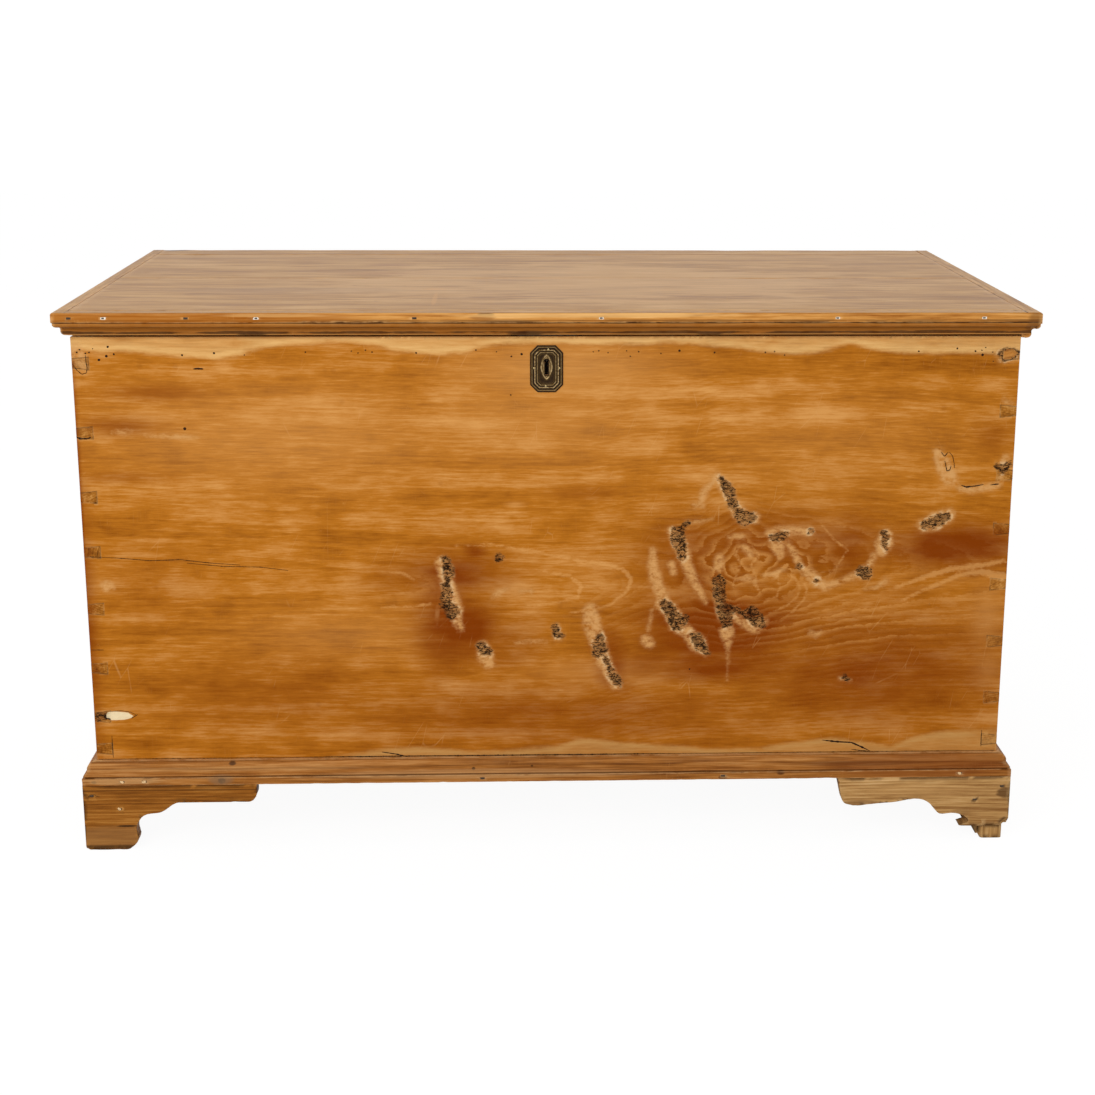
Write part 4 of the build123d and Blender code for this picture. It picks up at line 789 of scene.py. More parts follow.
    def fields(self, points: Array) -> dict[str, Array]:
        """Values that the front's material reads.

        Args:
            points: places (x, height) on the face, in millimetres.

        Returns:
            One array for each attribute name.
        """
        x, z = points.T
        pith = np.array(self.pith)
        middle, depth = (np.interp(x, pith[:, 0], pith[:, column]) for column in (1, 2))
        swirl = bell(points, *self.knot)
        growth = self.growth * self.drift(points, 0.045, 0.055, 4.2)
        radius = np.hypot(z - middle, depth) + swirl * growth
        top, bottom = (np.interp(x, *np.array(line).T) for line in (self.sap_top, self.sap_bottom))
        return {
            "ring": radius / self.ring, "sap": np.maximum(z - top, bottom - z),
            "stain": self.patchwork(points, self.stains_and_shade), "figure": self.patchwork(points, self.figures),
            "haze": self.patchwork(points, self.painted_sheens), "bare": self.nearest(points, self.bare),
            "core": self.nearest(points, self.core), "chip": self.nearest(points, self.chips),
            "vein": self.nearest(points, self.veins), "seam": self.nearest(points, self.seams()),
        }

    def nearest(self, points: Array, strokes: Sequence[Stroke]) -> Array:
        """Signed distance to the nearest of several strokes."""
        distances = [signed_distance(points, stroke) for stroke in strokes]
        return np.minimum(np.min(distances, axis=0), self.reach)

    def drift(self, points: Array, long: float, short: float, seed: float) -> Array:
        """Smooth noise over the face, from periods in each millimetre along and across it."""
        return np.array([noise.noise(Vector((x * long, z * short, seed))) for x, z in points])

    def patchwork(self, points: Array, patches: Sequence[tuple]) -> Array:
        """Strongest of several soft patches at each point, from 0 to 1."""
        return np.max([patch[4] * bell(points, *patch[:4]) for patch in patches], axis=0)

    def seams(self) -> list[Stroke]:
        """Joint lines of the dovetails."""
        lines = []
        for side, shares in self.pin_shares.items():
            outer = self.left if side < 0 else self.right
            inner = outer - side * self.board
            for share in shares:
                z = self.high - share * (self.high - self.low)
                wide, narrow = self.pin_wide / 2, self.pin_narrow / 2
                corners = ((outer, narrow), (inner, wide), (inner, -wide), (outer, -narrow))
                lines.append(tuple((x, z + rise, 0) for x, rise in corners))
        return lines

    def depth(self, points: Array, fields: dict[str, Array]) -> Array:
        """How far the face lies back, in millimetres: gouges and uneven planing."""
        bare = np.clip((1.5 - fields["bare"]) / 5.0, 0, 1)
        core = np.clip((1.0 - fields["core"]) / 3.0, 0, 1)
        plane = self.planing * (1 + self.drift(points, 0.006, 0.03, 1.7))
        return self.gouged * bare + self.cored * core + plane


def add_object(name: str, data: bpy.types.ID) -> Object:
    """Puts a new object into the scene."""
    made = bpy.data.objects.new(name, data)
    bpy.context.scene.collection.objects.link(made)
    return made


def stand(piece: Object, body: Body, nodes: Sequence[str]) -> Object:
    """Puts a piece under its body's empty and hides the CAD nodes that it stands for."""
    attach(piece, body.value)
    if nodes:
        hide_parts(*nodes)
    return piece


def store(mesh: Mesh, name: str, values: Sequence[float]) -> None:
    """Stores one value for each point of a mesh."""
    layer = mesh.attributes.get(name) or mesh.attributes.new(name, "FLOAT", "POINT")
    layer.data.foreach_set("value", np.asarray(values, np.float32))


def mesh_of(
    name: str, verts: Sequence, faces: Sequence, outward: bool = False, **values: Sequence[float]
) -> Mesh:
    """New mesh from points in metres and the numbers of each face's points.

    Args:
        name: name of the mesh.
        verts: the points.
        faces: the faces.
        outward: turns the faces outwards.
        values: each point's values, by attribute name.

    Returns:
        The mesh.
    """
    mesh = bpy.data.meshes.new(name)
    mesh.from_pydata(verts, [], faces)
    if outward:
        bm = bmesh.new()
        bm.from_mesh(mesh)
        bmesh.ops.recalc_face_normals(bm, faces=bm.faces)
        bm.to_mesh(mesh)
        bm.free()
    for key, numbers in values.items():
        store(mesh, key, numbers)
    return mesh


def tube(rings: int, count: int, start: int = 0, closed: bool = False) -> list[tuple[int, ...]]:
    """Faces between neighbouring rings of count points, and from the last ring to the first if closed."""
    faces = []
    for ring in range(rings if closed else rings - 1):
        a, b = start + ring * count, start + (ring + 1) % rings * count
        faces += [(a + i, a + (i + 1) % count, b + (i + 1) % count, b + i) for i in range(count)]
    return faces


class WornPiece:
    """Copy of a CAD node's mesh, merged, cut finer and aged."""

    # Angles between faces, in radians: flat, an arris to round, an arris to knock, and fully worn
    FLAT = math.radians(0.4)
    ARRIS = math.radians(30)
    KNOCKED = 0.35
    FULL = 0.7
    # Sharper than this on its proud side, a point isn't a corner darkened by dirt and painted shade
    MOUTH = 1.2

    def __init__(self, node: str) -> None:
        """Copies the node's mesh and joins its coplanar triangles."""
        self.node = node
        self.bm = bm = bmesh.new()
        bm.from_mesh(bpy.data.objects[node].data)
        bmesh.ops.remove_doubles(bm, verts=bm.verts, dist=1e-6)
        bmesh.ops.dissolve_limit(bm, angle_limit=self.FLAT, verts=bm.verts, edges=bm.edges)
        self.whole = True

    def triangulate(self) -> None:
        """Cuts every face of more than four sides into triangles."""
        bmesh.ops.triangulate(self.bm, faces=[face for face in self.bm.faces if len(face.verts) > 4])

    def angles(self, vert: bmesh.types.BMVert) -> list[float]:
        """Angles between the faces at a point's edges, above 0 where they stand proud."""
        return [edge.calc_face_angle_signed(0.0) for edge in vert.link_edges if edge.is_manifold]

    def extent(self, axis: int) -> tuple[float, float]:
        """Lowest and highest place along an axis, in millimetres."""
        values = [vert.co[axis] / MM for vert in self.bm.verts]
        return min(values), max(values)

    def bevel(self, width: float, longer: float = 40.0) -> "WornPiece":
        """Rounds the outer arrises that are longer than longer. Both lengths are in millimetres."""
        chosen = []
        for edge in self.bm.edges:
            if edge.is_manifold and edge.calc_length() > longer * MM:
                if edge.calc_face_angle_signed(0.0) > self.ARRIS:
                    chosen.append(edge)
        bmesh.ops.bevel(
            self.bm, geom=chosen, offset=width * MM, offset_type="OFFSET", segments=2, profile=0.5,
            affect="EDGES", clamp_overlap=True,
        )
        return self

    def cut(
        self, axis: int, places: Sequence[float], where: Callable[[Face], bool] = lambda face: True
    ) -> "WornPiece":
        """Cuts the chosen faces by planes across an axis, at places in millimetres."""
        if self.whole:
            self.triangulate()
            self.whole = False
        self._cut([face for face in self.bm.faces if where(face)], axis, sorted(places))
        return self

    def _cut(self, faces: Sequence[Face], axis: int, places: Sequence[float]) -> None:
        """Cuts by the middle plane, then each half by its own planes."""
        if not places or not faces:
            return
        middle = len(places) // 2
        at = places[middle] * MM
        normal = Vector((0, 0, 0))
        normal[axis] = 1.0
        edges = {edge for face in faces for edge in face.edges}
        verts = {vert for face in faces for vert in face.verts}
        geom = [*verts, *edges, *faces]
        found = bmesh.ops.bisect_plane(self.bm, geom=geom, dist=1e-7, plane_co=normal * at, plane_no=normal)
        after = [g for g in found["geom"] if isinstance(g, Face)]
        low = [face for face in after if face.calc_center_median()[axis] < at]
        high = [face for face in after if face.calc_center_median()[axis] >= at]
        self._cut(low, axis, places[:middle])
        self._cut(high, axis, places[middle + 1 :])

    def slices(self, axis: int, pitch: float) -> "WornPiece":
        """Cuts the whole piece every pitch millimetres along an axis."""
        low, high = self.extent(axis)
        return self.cut(axis, list(np.linspace(low, high, int((high - low) / pitch) + 2)[1:-1]))

    def moulded(self, grain: Grain, heights: Sequence[float]) -> "WornPiece":
        """Cuts a moulding at the heights of its members, across and along."""
        along = grain.value[0]
        return self.cut(2, heights).slices(1 - along, 8).slices(along, 5)

    def border(self, width: float = 5.0) -> "WornPiece":
        """Cuts width millimetres inside each side, so that wear on the arrises stays near them."""
        for axis in range(3):
            low, high = self.extent(axis)
            if high - low > 4 * width:
                self.cut(axis, [low + width, high - width])
        return self

    def ding(self, depth: float, pitch: float, seed: float, share: float = 0.2) -> "WornPiece":
        """Knocks the proud arrises in, up to depth millimetres, in spots pitch millimetres apart."""
        self.bm.normal_update()
        moves = []
        for vert in self.bm.verts:
            if max(self.angles(vert), default=0.0) > self.KNOCKED:
                value = noise.noise(vert.co / (pitch * MM) + Vector((seed, 0, 0)))
                small = noise.noise(vert.co / (pitch * 0.3 * MM) + Vector((0, seed, 0)))
                amount = max(0.0, value - share) + 0.25 * max(0.0, small)
                moves.append((vert, vert.normal * (-depth * MM * min(1.0, amount * 1.6))))
        for vert, move in moves:
            vert.co += move
        return self

    def finish(
        self, name: str, body: Body, finishes: Sequence[Finish],
        choose: Callable[[Face], int] = lambda face: 0, slot: str = "",
    ) -> Object:
        """Makes the object that stands for the node.

        Args:
            name: name of the piece.
            body: the body that it moves with.
            finishes: materials' finishes.
            choose: gives the number of a face's finish.
            slot: not used.

        Returns:
            The object.
        """
        low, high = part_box(self.node)
        for vert in self.bm.verts:
            vert.co = Vector([min(max(value, a), b) for value, a, b in zip(vert.co, low, high)])
        self.triangulate()
        bmesh.ops.recalc_face_normals(self.bm, faces=self.bm.faces)
        self.bm.normal_update()
        for face in self.bm.faces:
            face.material_index = choose(face)
        proud = self.bm.verts.layers.float.new("proud")
        hollow = self.bm.verts.layers.float.new("hollow")
        for vert in self.bm.verts:
            angles = self.angles(vert)
            most, least = max(angles, default=0.0), min(angles, default=0.0)
            vert[proud] = min(1.0, max(0.0, most) / self.FULL)
            vert[hollow] = 0.0 if most > self.MOUTH else min(1.0, max(0.0, -least) / self.FULL)
        mesh = bpy.data.meshes.new(name)
        self.bm.to_mesh(mesh)
        self.bm.free()
        return stand(add_piece(name, mesh, finishes), body, [self.node])


_materials: dict[str, bpy.types.Material] = {}


def material_of(finish: Finish) -> bpy.types.Material:
    """The material of a finish, made once."""
    if finish.name not in _materials:
        _materials[finish.name] = finish.build()
    return _materials[finish.name]


def add_piece(name: str, mesh: Mesh, finishes: Sequence[Finish]) -> Object:
    """Puts a mesh into the scene with its finishes, shaded smooth where its faces meet at small angles."""
    for finish in finishes:
        mesh.materials.append(material_of(finish))
    mesh.shade_smooth()
    mesh.set_sharp_from_angle(angle=SHARP)
    return add_object(name, mesh)


def spread(low: float, high: float, pitch: float) -> list[float]:
    """Even places between two ends."""
    count = max(1, round((high - low) / pitch))
    return [low + (high - low) * index / count for index in range(1, count)]


def graded(*stops: float) -> list[float]:
    """Places between the first stop and the last. Every second stop is the pitch between its neighbours."""
    places = []
    for low, pitch, high in zip(stops[::2], stops[1::2], stops[2::2]):
        places += [*spread(low, high, pitch), high]
    return places[:-1]


@dataclass
class Carcase:
    """Dovetailed box: marked front, ends, back and bottom boards."""

    marks: FrontMarks
    front: float = -283.5
    back: float = 288.5
    # Part of the front that is cut finest: left, right, low, high
    dense: tuple[float, float, float, float] = (-192.0, 447.0, 182.0, 436.0)
    # Strip at each corner that shows the dovetails, and the pitch of its cuts
    corner: float = 24.0
    corner_pitch: float = 1.6

    def build(self) -> None:
        """Builds every board of the box."""
        self.build_front()
        self.build_ends()
        self.build_back()
        self.build_bottom()

    def build_front(self) -> None:
        """Front board, its face cut fine enough to carry the marks."""
        outside = MarkedPine(
            "front_pine", Grain.X, (0, 0), pale=(214, 152, 82), honey=(184, 112, 28), dark=(136, 72, 6),
            ring_attribute="ring", rings=0.1, seed=3.1, blotch=1.1, fibre=0.4, specular=0.025, fine=1.5,
            streaks=(0.03, 0.45), clouds=(0.015, 0.028), fibres=(0.06, 0.8),
        )
        finishes = pine_pair(outside, pith=(self.front - 60, 300), ring_attribute="")
        x0, x1, z0, z1 = self.dense
        m, strip, pitch = self.marks, self.corner, self.corner_pitch
        xs = graded(m.left, pitch, m.left + strip, 7, x0, 2.5, x1, 4, m.right - strip, pitch, m.right)
        zs = graded(m.low, 4, z0, 2.5, z1, 4, m.high)
        piece = WornPiece("front_board").bevel(0.5)
        piece.cut(0, xs, self.on_front).cut(2, zs, self.on_front)
        self.gouge(piece)
        made = piece.finish("front_panel", Body.CHEST, finishes, self.side_of_front, "carcase_pine")
        self.lay_marks(made)

    def on_front(self, face: Face) -> bool:
        """True for faces of the chest's front."""
        return face.normal.y < -0.9 and face.calc_center_median().y < (self.front + 1) * MM

    def side_of_front(self, face: Face) -> int:
        """0 on the waxed outside and 1 inside."""
        return 0 if face.normal.y < -0.3 or abs(face.normal.x) > 0.8 else 1

    def gouge(self, piece: WornPiece) -> None:
        """Sinks the scars into a piece's front face."""
        verts = [vert for vert in piece.bm.verts if abs(vert.co.y / MM - self.front) < 0.02]
        points = np.array([(vert.co.x / MM, vert.co.z / MM) for vert in verts])
        depths = self.marks.depth(points, self.marks.fields(points))
        for vert, depth in zip(verts, depths):
            vert.co.y += depth * MM

    def lay_marks(self, piece: Object) -> None:
        """Stores the marks' values on a piece."""
        co = np.empty(len(piece.data.vertices) * 3, np.float32)
        piece.data.vertices.foreach_get("co", co)
        co = co.reshape(-1, 3) / MM
        facing = co[:, 1] < self.front + 3
        for name, values in self.marks.fields(co[:, [0, 2]].astype(float)).items():
            store(piece.data, name, values * facing if name in ("stain", "figure", "haze") else values)

    def build_ends(self) -> None:
        """End boards. Their pins show end grain on the chest's front."""
        for name, side in (("left", -1), ("right", 1)):
            outer = self.marks.left if side < 0 else self.marks.right
            pins = MarkedPine(
                f"{name}_pins", Grain.Y, (outer - side * 40, 340), pale=(206, 148, 76),
                honey=(164, 102, 30), dark=(92, 50, 8), ring=2.6, wander=4.0, rings=0.25, fibre=0.7,
                blotch=1.2, seed=7.0 + side, specular=0.04, clouds=(0.06, 0.12),
            )
            outside = Pine(f"{name}_end_pine", Grain.Y, (outer + side * 45, 310), seed=11.0 + side)
            finishes = [*pine_pair(outside), pins]
            piece = WornPiece(f"{name}_end_board").bevel(0.5)
            piece.border().cut(1, [self.front + self.corner, self.back - self.corner])
            piece.cut(2, spread(self.marks.low, self.marks.high, 1.8), self.on_front)
            piece.cut(0, spread(outer - 20, outer + 20, self.corner_pitch), self.on_front)
            self.gouge(piece)

            def choose(face: Face, side: int = side) -> int:
                """2 on the front's pins, 0 on the outside, 1 elsewhere."""
                if self.on_front(face):
                    return 2
                return 0 if face.normal.x * side > 0.3 or abs(face.normal.y) > 0.8 else 1

            made = piece.finish(f"{name}_end", Body.CHEST, finishes, choose, "carcase_pine")
            self.lay_marks(made)

    def build_back(self) -> None:
        """Back board, waxed only by time."""
        outside = Pine(
            "back_pine", Grain.X, (self.back + 55, 250), pale=(206, 158, 104), honey=(184, 134, 82),
            dark=(138, 88, 44), seed=19.0, rough=0.7, specular=0.15, rings=0.6, relief=1.5,
        )
        piece = WornPiece("back_board").bevel(0.6).border()
        piece.cut(0, [self.marks.left + self.corner, self.marks.right - self.corner])
        piece.slices(0, 40).ding(0.8, 30, 2.0)

        def choose(face: Face) -> int:
            """0 on the outside and 1 inside."""
            return 0 if face.normal.y > 0.3 or abs(face.normal.x) > 0.8 else 1

        piece.finish("back_panel", Body.CHEST, pine_pair(outside), choose, "carcase_pine")

    def build_bottom(self) -> None:
        """Three rough bottom boards."""
        for index in range(3):
            rough = Pine(
                f"bottom_pine_{index + 1}", Grain.X, (self.front + 95 + 190 * index, 40 + 30 * index),
                pale=(206, 166, 116), honey=(184, 142, 92), dark=(132, 90, 50), seed=23.0 + index,
                rough=0.85, specular=0.1, rings=0.7, relief=2.0, scuffs=0.8,
            )
            piece = WornPiece(f"bottom_board_{index + 1}").bevel(0.8).border()
            piece.slices(0, 50).ding(0.8, 25, 5.0 + index)
            piece.finish(f"bottom_{index + 1}", Body.CHEST, [rough], slot="rough_pine")


@dataclass
class Lid:
    """Three boards with a mitred moulding."""

    top: float = 608.7
    front: float = -303.5
    # Depths below the top where the moulding's members meet
    members: tuple[float, ...] = (1.0, 4.0, 7.5, 9.6)
    # Name, place of the pith and seed
    boards: tuple[tuple[str, float, float], ...] = (
        ("front", -150.0, 31.0), ("middle", 120.0, 37.0), ("rear", 300.0, 43.0),
    )
    # Bands along the moulded edge: painted shade on the ovolo, in the quirk and under the lower members,
    # painted highlights on the nosing and along the lower arris, and some dark marks
    bands_and_painted_light: tuple[Patch, ...] = patch_rows(
        (0, 2),
        (0, 589.5, WHOLE, 8, (146, 84, 16), 0.85, 0.3), (0, 586.4, WHOLE, 1.3, (60, 28, 4), 0.85, 3.4),
        (0, 584.2, WHOLE, 0.7, (206, 152, 84), 0.6, 1), (0, 592.5, WHOLE, 0.8, (96, 52, 10), 0.6, 2.6),
        (0, 598.3, WHOLE, 1.3, (58, 24, 4), 0.85, 1.2), (0, 600.6, WHOLE, 0.9, (90, 48, 12), 0.6, 2.2),
        (-400, 604, 190, 8, (160, 88, 10), 0.65), (-70, 607, 9, 2.2, (70, 34, 12), 0.9),
        (-74, 604, 14, 3.4, (140, 84, 34), 0.6), (40, 606, 170, 2.6, (240, 190, 120), 0.6),
        (-300, 606, 60, 2, (236, 186, 116), 0.4), (-318, 584.5, 16, 2.6, (52, 26, 8), 0.8),
        (-28, 584.5, 20, 2.6, (52, 26, 8), 0.8), (170, 585, 14, 2.4, (60, 30, 10), 0.7),
        (520, 596, 10, 14, (96, 56, 22), 0.5),
    )
    # Marks on the top: dark joint lines and patches, painted shade along the rear edge at the left (-500,
    # 296) and a painted highlight along it at the right (410, 300)
    marks: tuple[Patch, ...] = patch_rows(
        (0, 1), (-195, 130, 34, 9, (142, 86, 50), 0.55), (-131, -106, 12, 9, (206, 140, 66), 0.45),
        (-128, -190, 3, 60, (206, 146, 76), 0.4), (-28, -265, 30, 1.5, (74, 44, 24), 0.7),
        (-500, 296, 30, 9, (84, 52, 26), 0.75), (0, -5.5, WHOLE, 1.3, (132, 76, 30), 0.7, 0.7),
        (0, 246.5, WHOLE, 1, (120, 76, 38), 0.45, 0.9), (-511.5, 0, 0.8, WHOLE, (92, 56, 26), 0.6, 0.8),
        (509.5, 0, 1.1, WHOLE, (70, 40, 20), 0.8, 0.7), (0, -284, WHOLE, 0.8, (110, 68, 34), 0.5, 0.9),
        (410, 300, 110, 3, (214, 174, 126), 0.5), (-180, 40, 90, 14, (172, 118, 70), 0.35),
        (60, -40, 330, 190, (210, 164, 110), 0.45, 1.2), (-300, -120, 140, 30, (168, 130, 90), 0.3),
    )

    def build(self) -> None:
        """Builds the lid's boards and mouldings."""
        for name, pith, seed in self.boards:
            outside = self.top_wood(f"lid_{name}_pine", Grain.X, (pith, self.top - 130), seed)
            piece = WornPiece(f"lid_{name}_board").bevel(0.6).border(8)
            piece.slices(0, 30).ding(0.7, 22, seed)
            piece.finish(f"lid_{name}", Body.LID, pine_pair(outside), self.side, "lid_pine")
        for name, grain, pith in (
            ("front", Grain.X, (self.front + 30, self.top + 40)),
            ("left", Grain.Y, (-490.0, self.top + 40)), ("right", Grain.Y, (540.0, self.top + 45)),
        ):
            seed = 61.0 + pith[0] * 0.01
            outside = Pine(
                f"lid_edge_{name}_pine", grain, pith, pale=(226, 170, 100), honey=(204, 140, 66),
                dark=(150, 86, 24), worn=(232, 178, 112), ring=3.4, wander=10.0, rings=0.4, fibre=0.9,
                blotch=0.9, seed=seed, wear=0.7, soil=1.0, specular=0.07, patches=self.bands_and_painted_light,
                streaks=(0.025, 0.4), clouds=(0.012, 0.05),
            )
            finishes = [outside, self.top_wood(f"lid_rim_{name}_pine", grain, pith, seed)]
            piece = WornPiece(f"lid_moulding_{name}")
            piece.moulded(grain, [self.top - drop for drop in self.members]).ding(0.9, 16, seed, 0.25)
            piece.finish(f"lid_edge_{name}", Body.LID, finishes, self.upward, "moulding_pine")

    def top_wood(self, name: str, grain: Grain, pith: tuple[float, float], seed: float) -> Pine:
        """Rubbed, hazy wood of the lid's top."""
        return Pine(
            name, grain, pith, pale=(208, 162, 102), honey=(179, 130, 68), dark=(128, 80, 34), ring=5.5,
            wander=22.0, rings=0.25, fibre=0.9, blotch=0.9, seed=seed, rough=0.42, specular=0.1, scuffs=0.6,
            soil=0.7, patches=self.marks, streaks=(0.012, 0.34), clouds=(0.007, 0.02),
        )

    def upward(self, face: Face) -> int:
        """1 on top and 0 at the moulded edge."""
        return 1 if face.normal.z > 0.9 and face.calc_center_median().z > (self.top - 1) * MM else 0

    def side(self, face: Face) -> int:
        """0 on top and at the edges, 1 underneath."""
        return 1 if face.normal.z < -0.5 else 0


@dataclass
class Plinth:
    """Moulding round the foot of the box."""

    bottom: float = 77.0
    # Heights over the bottom where the members meet
    members: tuple[float, ...] = (1.0, 3.5, 6.5, 7.6)
    patches: tuple[Patch, ...] = patch_rows(
        (0, 2), (-359, 99.6, 4.5, 2.2, (58, 26, 8), 0.9), (-370.7, 81.8, 4.5, 4, (60, 34, 16), 0.85),
        (-512.8, 81.2, 3, 1.6, (40, 18, 6), 0.9), (-371, 83, 15, 6.5, (134, 104, 74), 0.6),
        (-480, 82, 40, 4.4, (190, 144, 92), 0.6, 1.6), (259.6, 84.6, 5, 3, (74, 36, 12), 0.8),
        (193.6, 79.4, 5, 2.6, (74, 36, 12), 0.7), (-88.6, 91.5, 2, 1.6, (50, 26, 10), 0.8),
        (-22.7, 93.8, 1.8, 1.4, (50, 26, 10), 0.8), (-80, 86, 210, 5, (186, 140, 90), 0.5),
        (420, 90, 120, 14, (128, 66, 22), 0.55), (350, 93, 90, 3, (92, 46, 16), 0.5),
        (-350, 94, 160, 3, (196, 148, 92), 0.35),
    )

    def build(self) -> None:
        """Builds the three mitred pieces."""
        for name, grain, pith in (
            ("front", Grain.X, (-330.0, 120.0)), ("left", Grain.Y, (-560.0, 118.0)),
            ("right", Grain.Y, (560.0, 118.0)),
        ):
            outside = Pine(
                f"plinth_{name}_pine", grain, pith, pale=(200, 144, 84), honey=(164, 104, 44),
                dark=(110, 60, 18), worn=(206, 160, 108), ring=3.0, wander=8.0, rings=0.35, fibre=1.0,
                blotch=0.9, seed=71.0 + pith[0] * 0.01, wear=0.7, soil=0.6, specular=0.06,
                patches=self.patches, streaks=(0.016, 0.5), clouds=(0.009, 0.05),
            )
            piece = WornPiece(f"plinth_{name}").moulded(grain, [self.bottom + rise for rise in self.members])
            piece.ding(0.8, 14, 73.0 + pith[0] * 0.01, 0.2)
            piece.finish(f"plinth_moulding_{name}", Body.CHEST, [outside], slot="moulding_pine")


@dataclass
class Feet:
    """Ogee brackets, rear foot boards and corner blocks."""

    brown: tuple[Colour, Colour, Colour] = ((180, 122, 54), (148, 90, 28), (100, 54, 12))
    new: tuple[Colour, Colour, Colour] = ((212, 172, 118), (184, 140, 84), (132, 88, 44))
    dry: tuple[Colour, Colour, Colour] = ((204, 164, 112), (178, 136, 86), (126, 86, 48))
    old_marks: tuple[Patch, ...] = patch_rows(
        (0, 2), (0, 14, WHOLE, 15, (146, 104, 60), 0.55), (0, 1, WHOLE, 4.5, (50, 32, 14), 0.75),
        (-479, 28.4, 11, 1.1, (40, 20, 8), 0.85, 1.8), (-506, 28.8, 16, 0.9, (110, 66, 24), 0.5, 1.8),
        (0, 71, WHOLE, 0.8, (70, 36, 10), 0.6, 1.2), (-485, 49, 4, 2.6, (206, 150, 84), 0.6),
    )
    new_marks: tuple[Patch, ...] = patch_rows(
        (0, 2), (520, 57, 11, 7, (78, 46, 22), 0.75, 1.3), (470, 34, 13, 3.5, (128, 92, 54), 0.4, 1),
        (352, 46, 22, 4, (120, 84, 50), 0.55), (430, 60, 70, 9, (196, 150, 92), 0.3),
        (0, 17, WHOLE, 2.5, (92, 60, 30), 0.5),
    )

    def build(self) -> None:
        """Builds every piece of the feet."""
        for name in ("front_left", "left_front", "left_rear", "right_rear", "front_right", "right_front"):
            along_x = name.startswith("front")
            new = name in ("front_right", "right_front")
            colours = self.new if new else self.brown
            side = -1 if "left" in name else 1
            pith = (-250.0, 20.0) if along_x else (side * 470.0, 15.0)
            wood = self.wood(name + "_bracket", Grain.X if along_x else Grain.Y, pith, colours)
            wood = replace(wood, ring=2.6, rings=0.4 if new else 0.25, rough=0.7 if new else 0.5)
            wood = replace(wood, patches=self.new_marks if new else self.old_marks)
            slot = "new_pine" if new else "bracket_pine"
            self.piece(f"{name}_bracket", wood, 5.0, slot)
        for side in ("left", "right"):
            place = -470.0 if side == "left" else 470.0
            board = self.wood(f"rear_{side}_foot", Grain.X, (310.0, -30.0), self.dry)
            self.piece(f"rear_{side}_foot_board", board, 12.0, "rough_pine")
            rear = self.wood(f"rear_{side}_block", Grain.Z, (place, 220.0), self.dry)
            self.piece(f"rear_{side}_corner_block", rear, 12.0, "rough_pine")
            front = self.wood(f"front_{side}_block", Grain.Z, (place, -240.0), self.new)
            slot = "new_pine" if side == "right" else "rough_pine"
            self.piece(f"front_{side}_corner_block", front, 6.0, slot)

    def wood(self, name: str, grain: Grain, pith: tuple[float, float], colours: tuple) -> Pine:
        """Finish of one piece from its three colours."""
        pale, honey, dark = colours
        return Pine(
            name + "_pine", grain, pith, pale=pale, honey=honey, dark=dark, worn=pale, ring=3.0, wander=6.0,
            rings=0.5, fibre=1.0, blotch=0.8, seed=81.0 + sum(map(ord, name)) % 13, rough=0.8,
            specular=0.06, streaks=(0.02, 0.5), clouds=(0.012, 0.05),
        )

    def piece(self, node: str, wood: Pine, pitch: float, slot: str) -> None:
        """Ages one CAD node into a shown piece."""
        axis = wood.grain.value[0]
        worn = WornPiece(node).bevel(0.9, 3).slices(axis, pitch).slices(0 if axis == 2 else 2, 5)
        worn.ding(1.0, 14, wood.seed, 0.15)
        name = node.replace("_board", "").replace("_corner", "")
        worn.finish(name + "_aged", Body.CHEST, [wood], slot=slot)


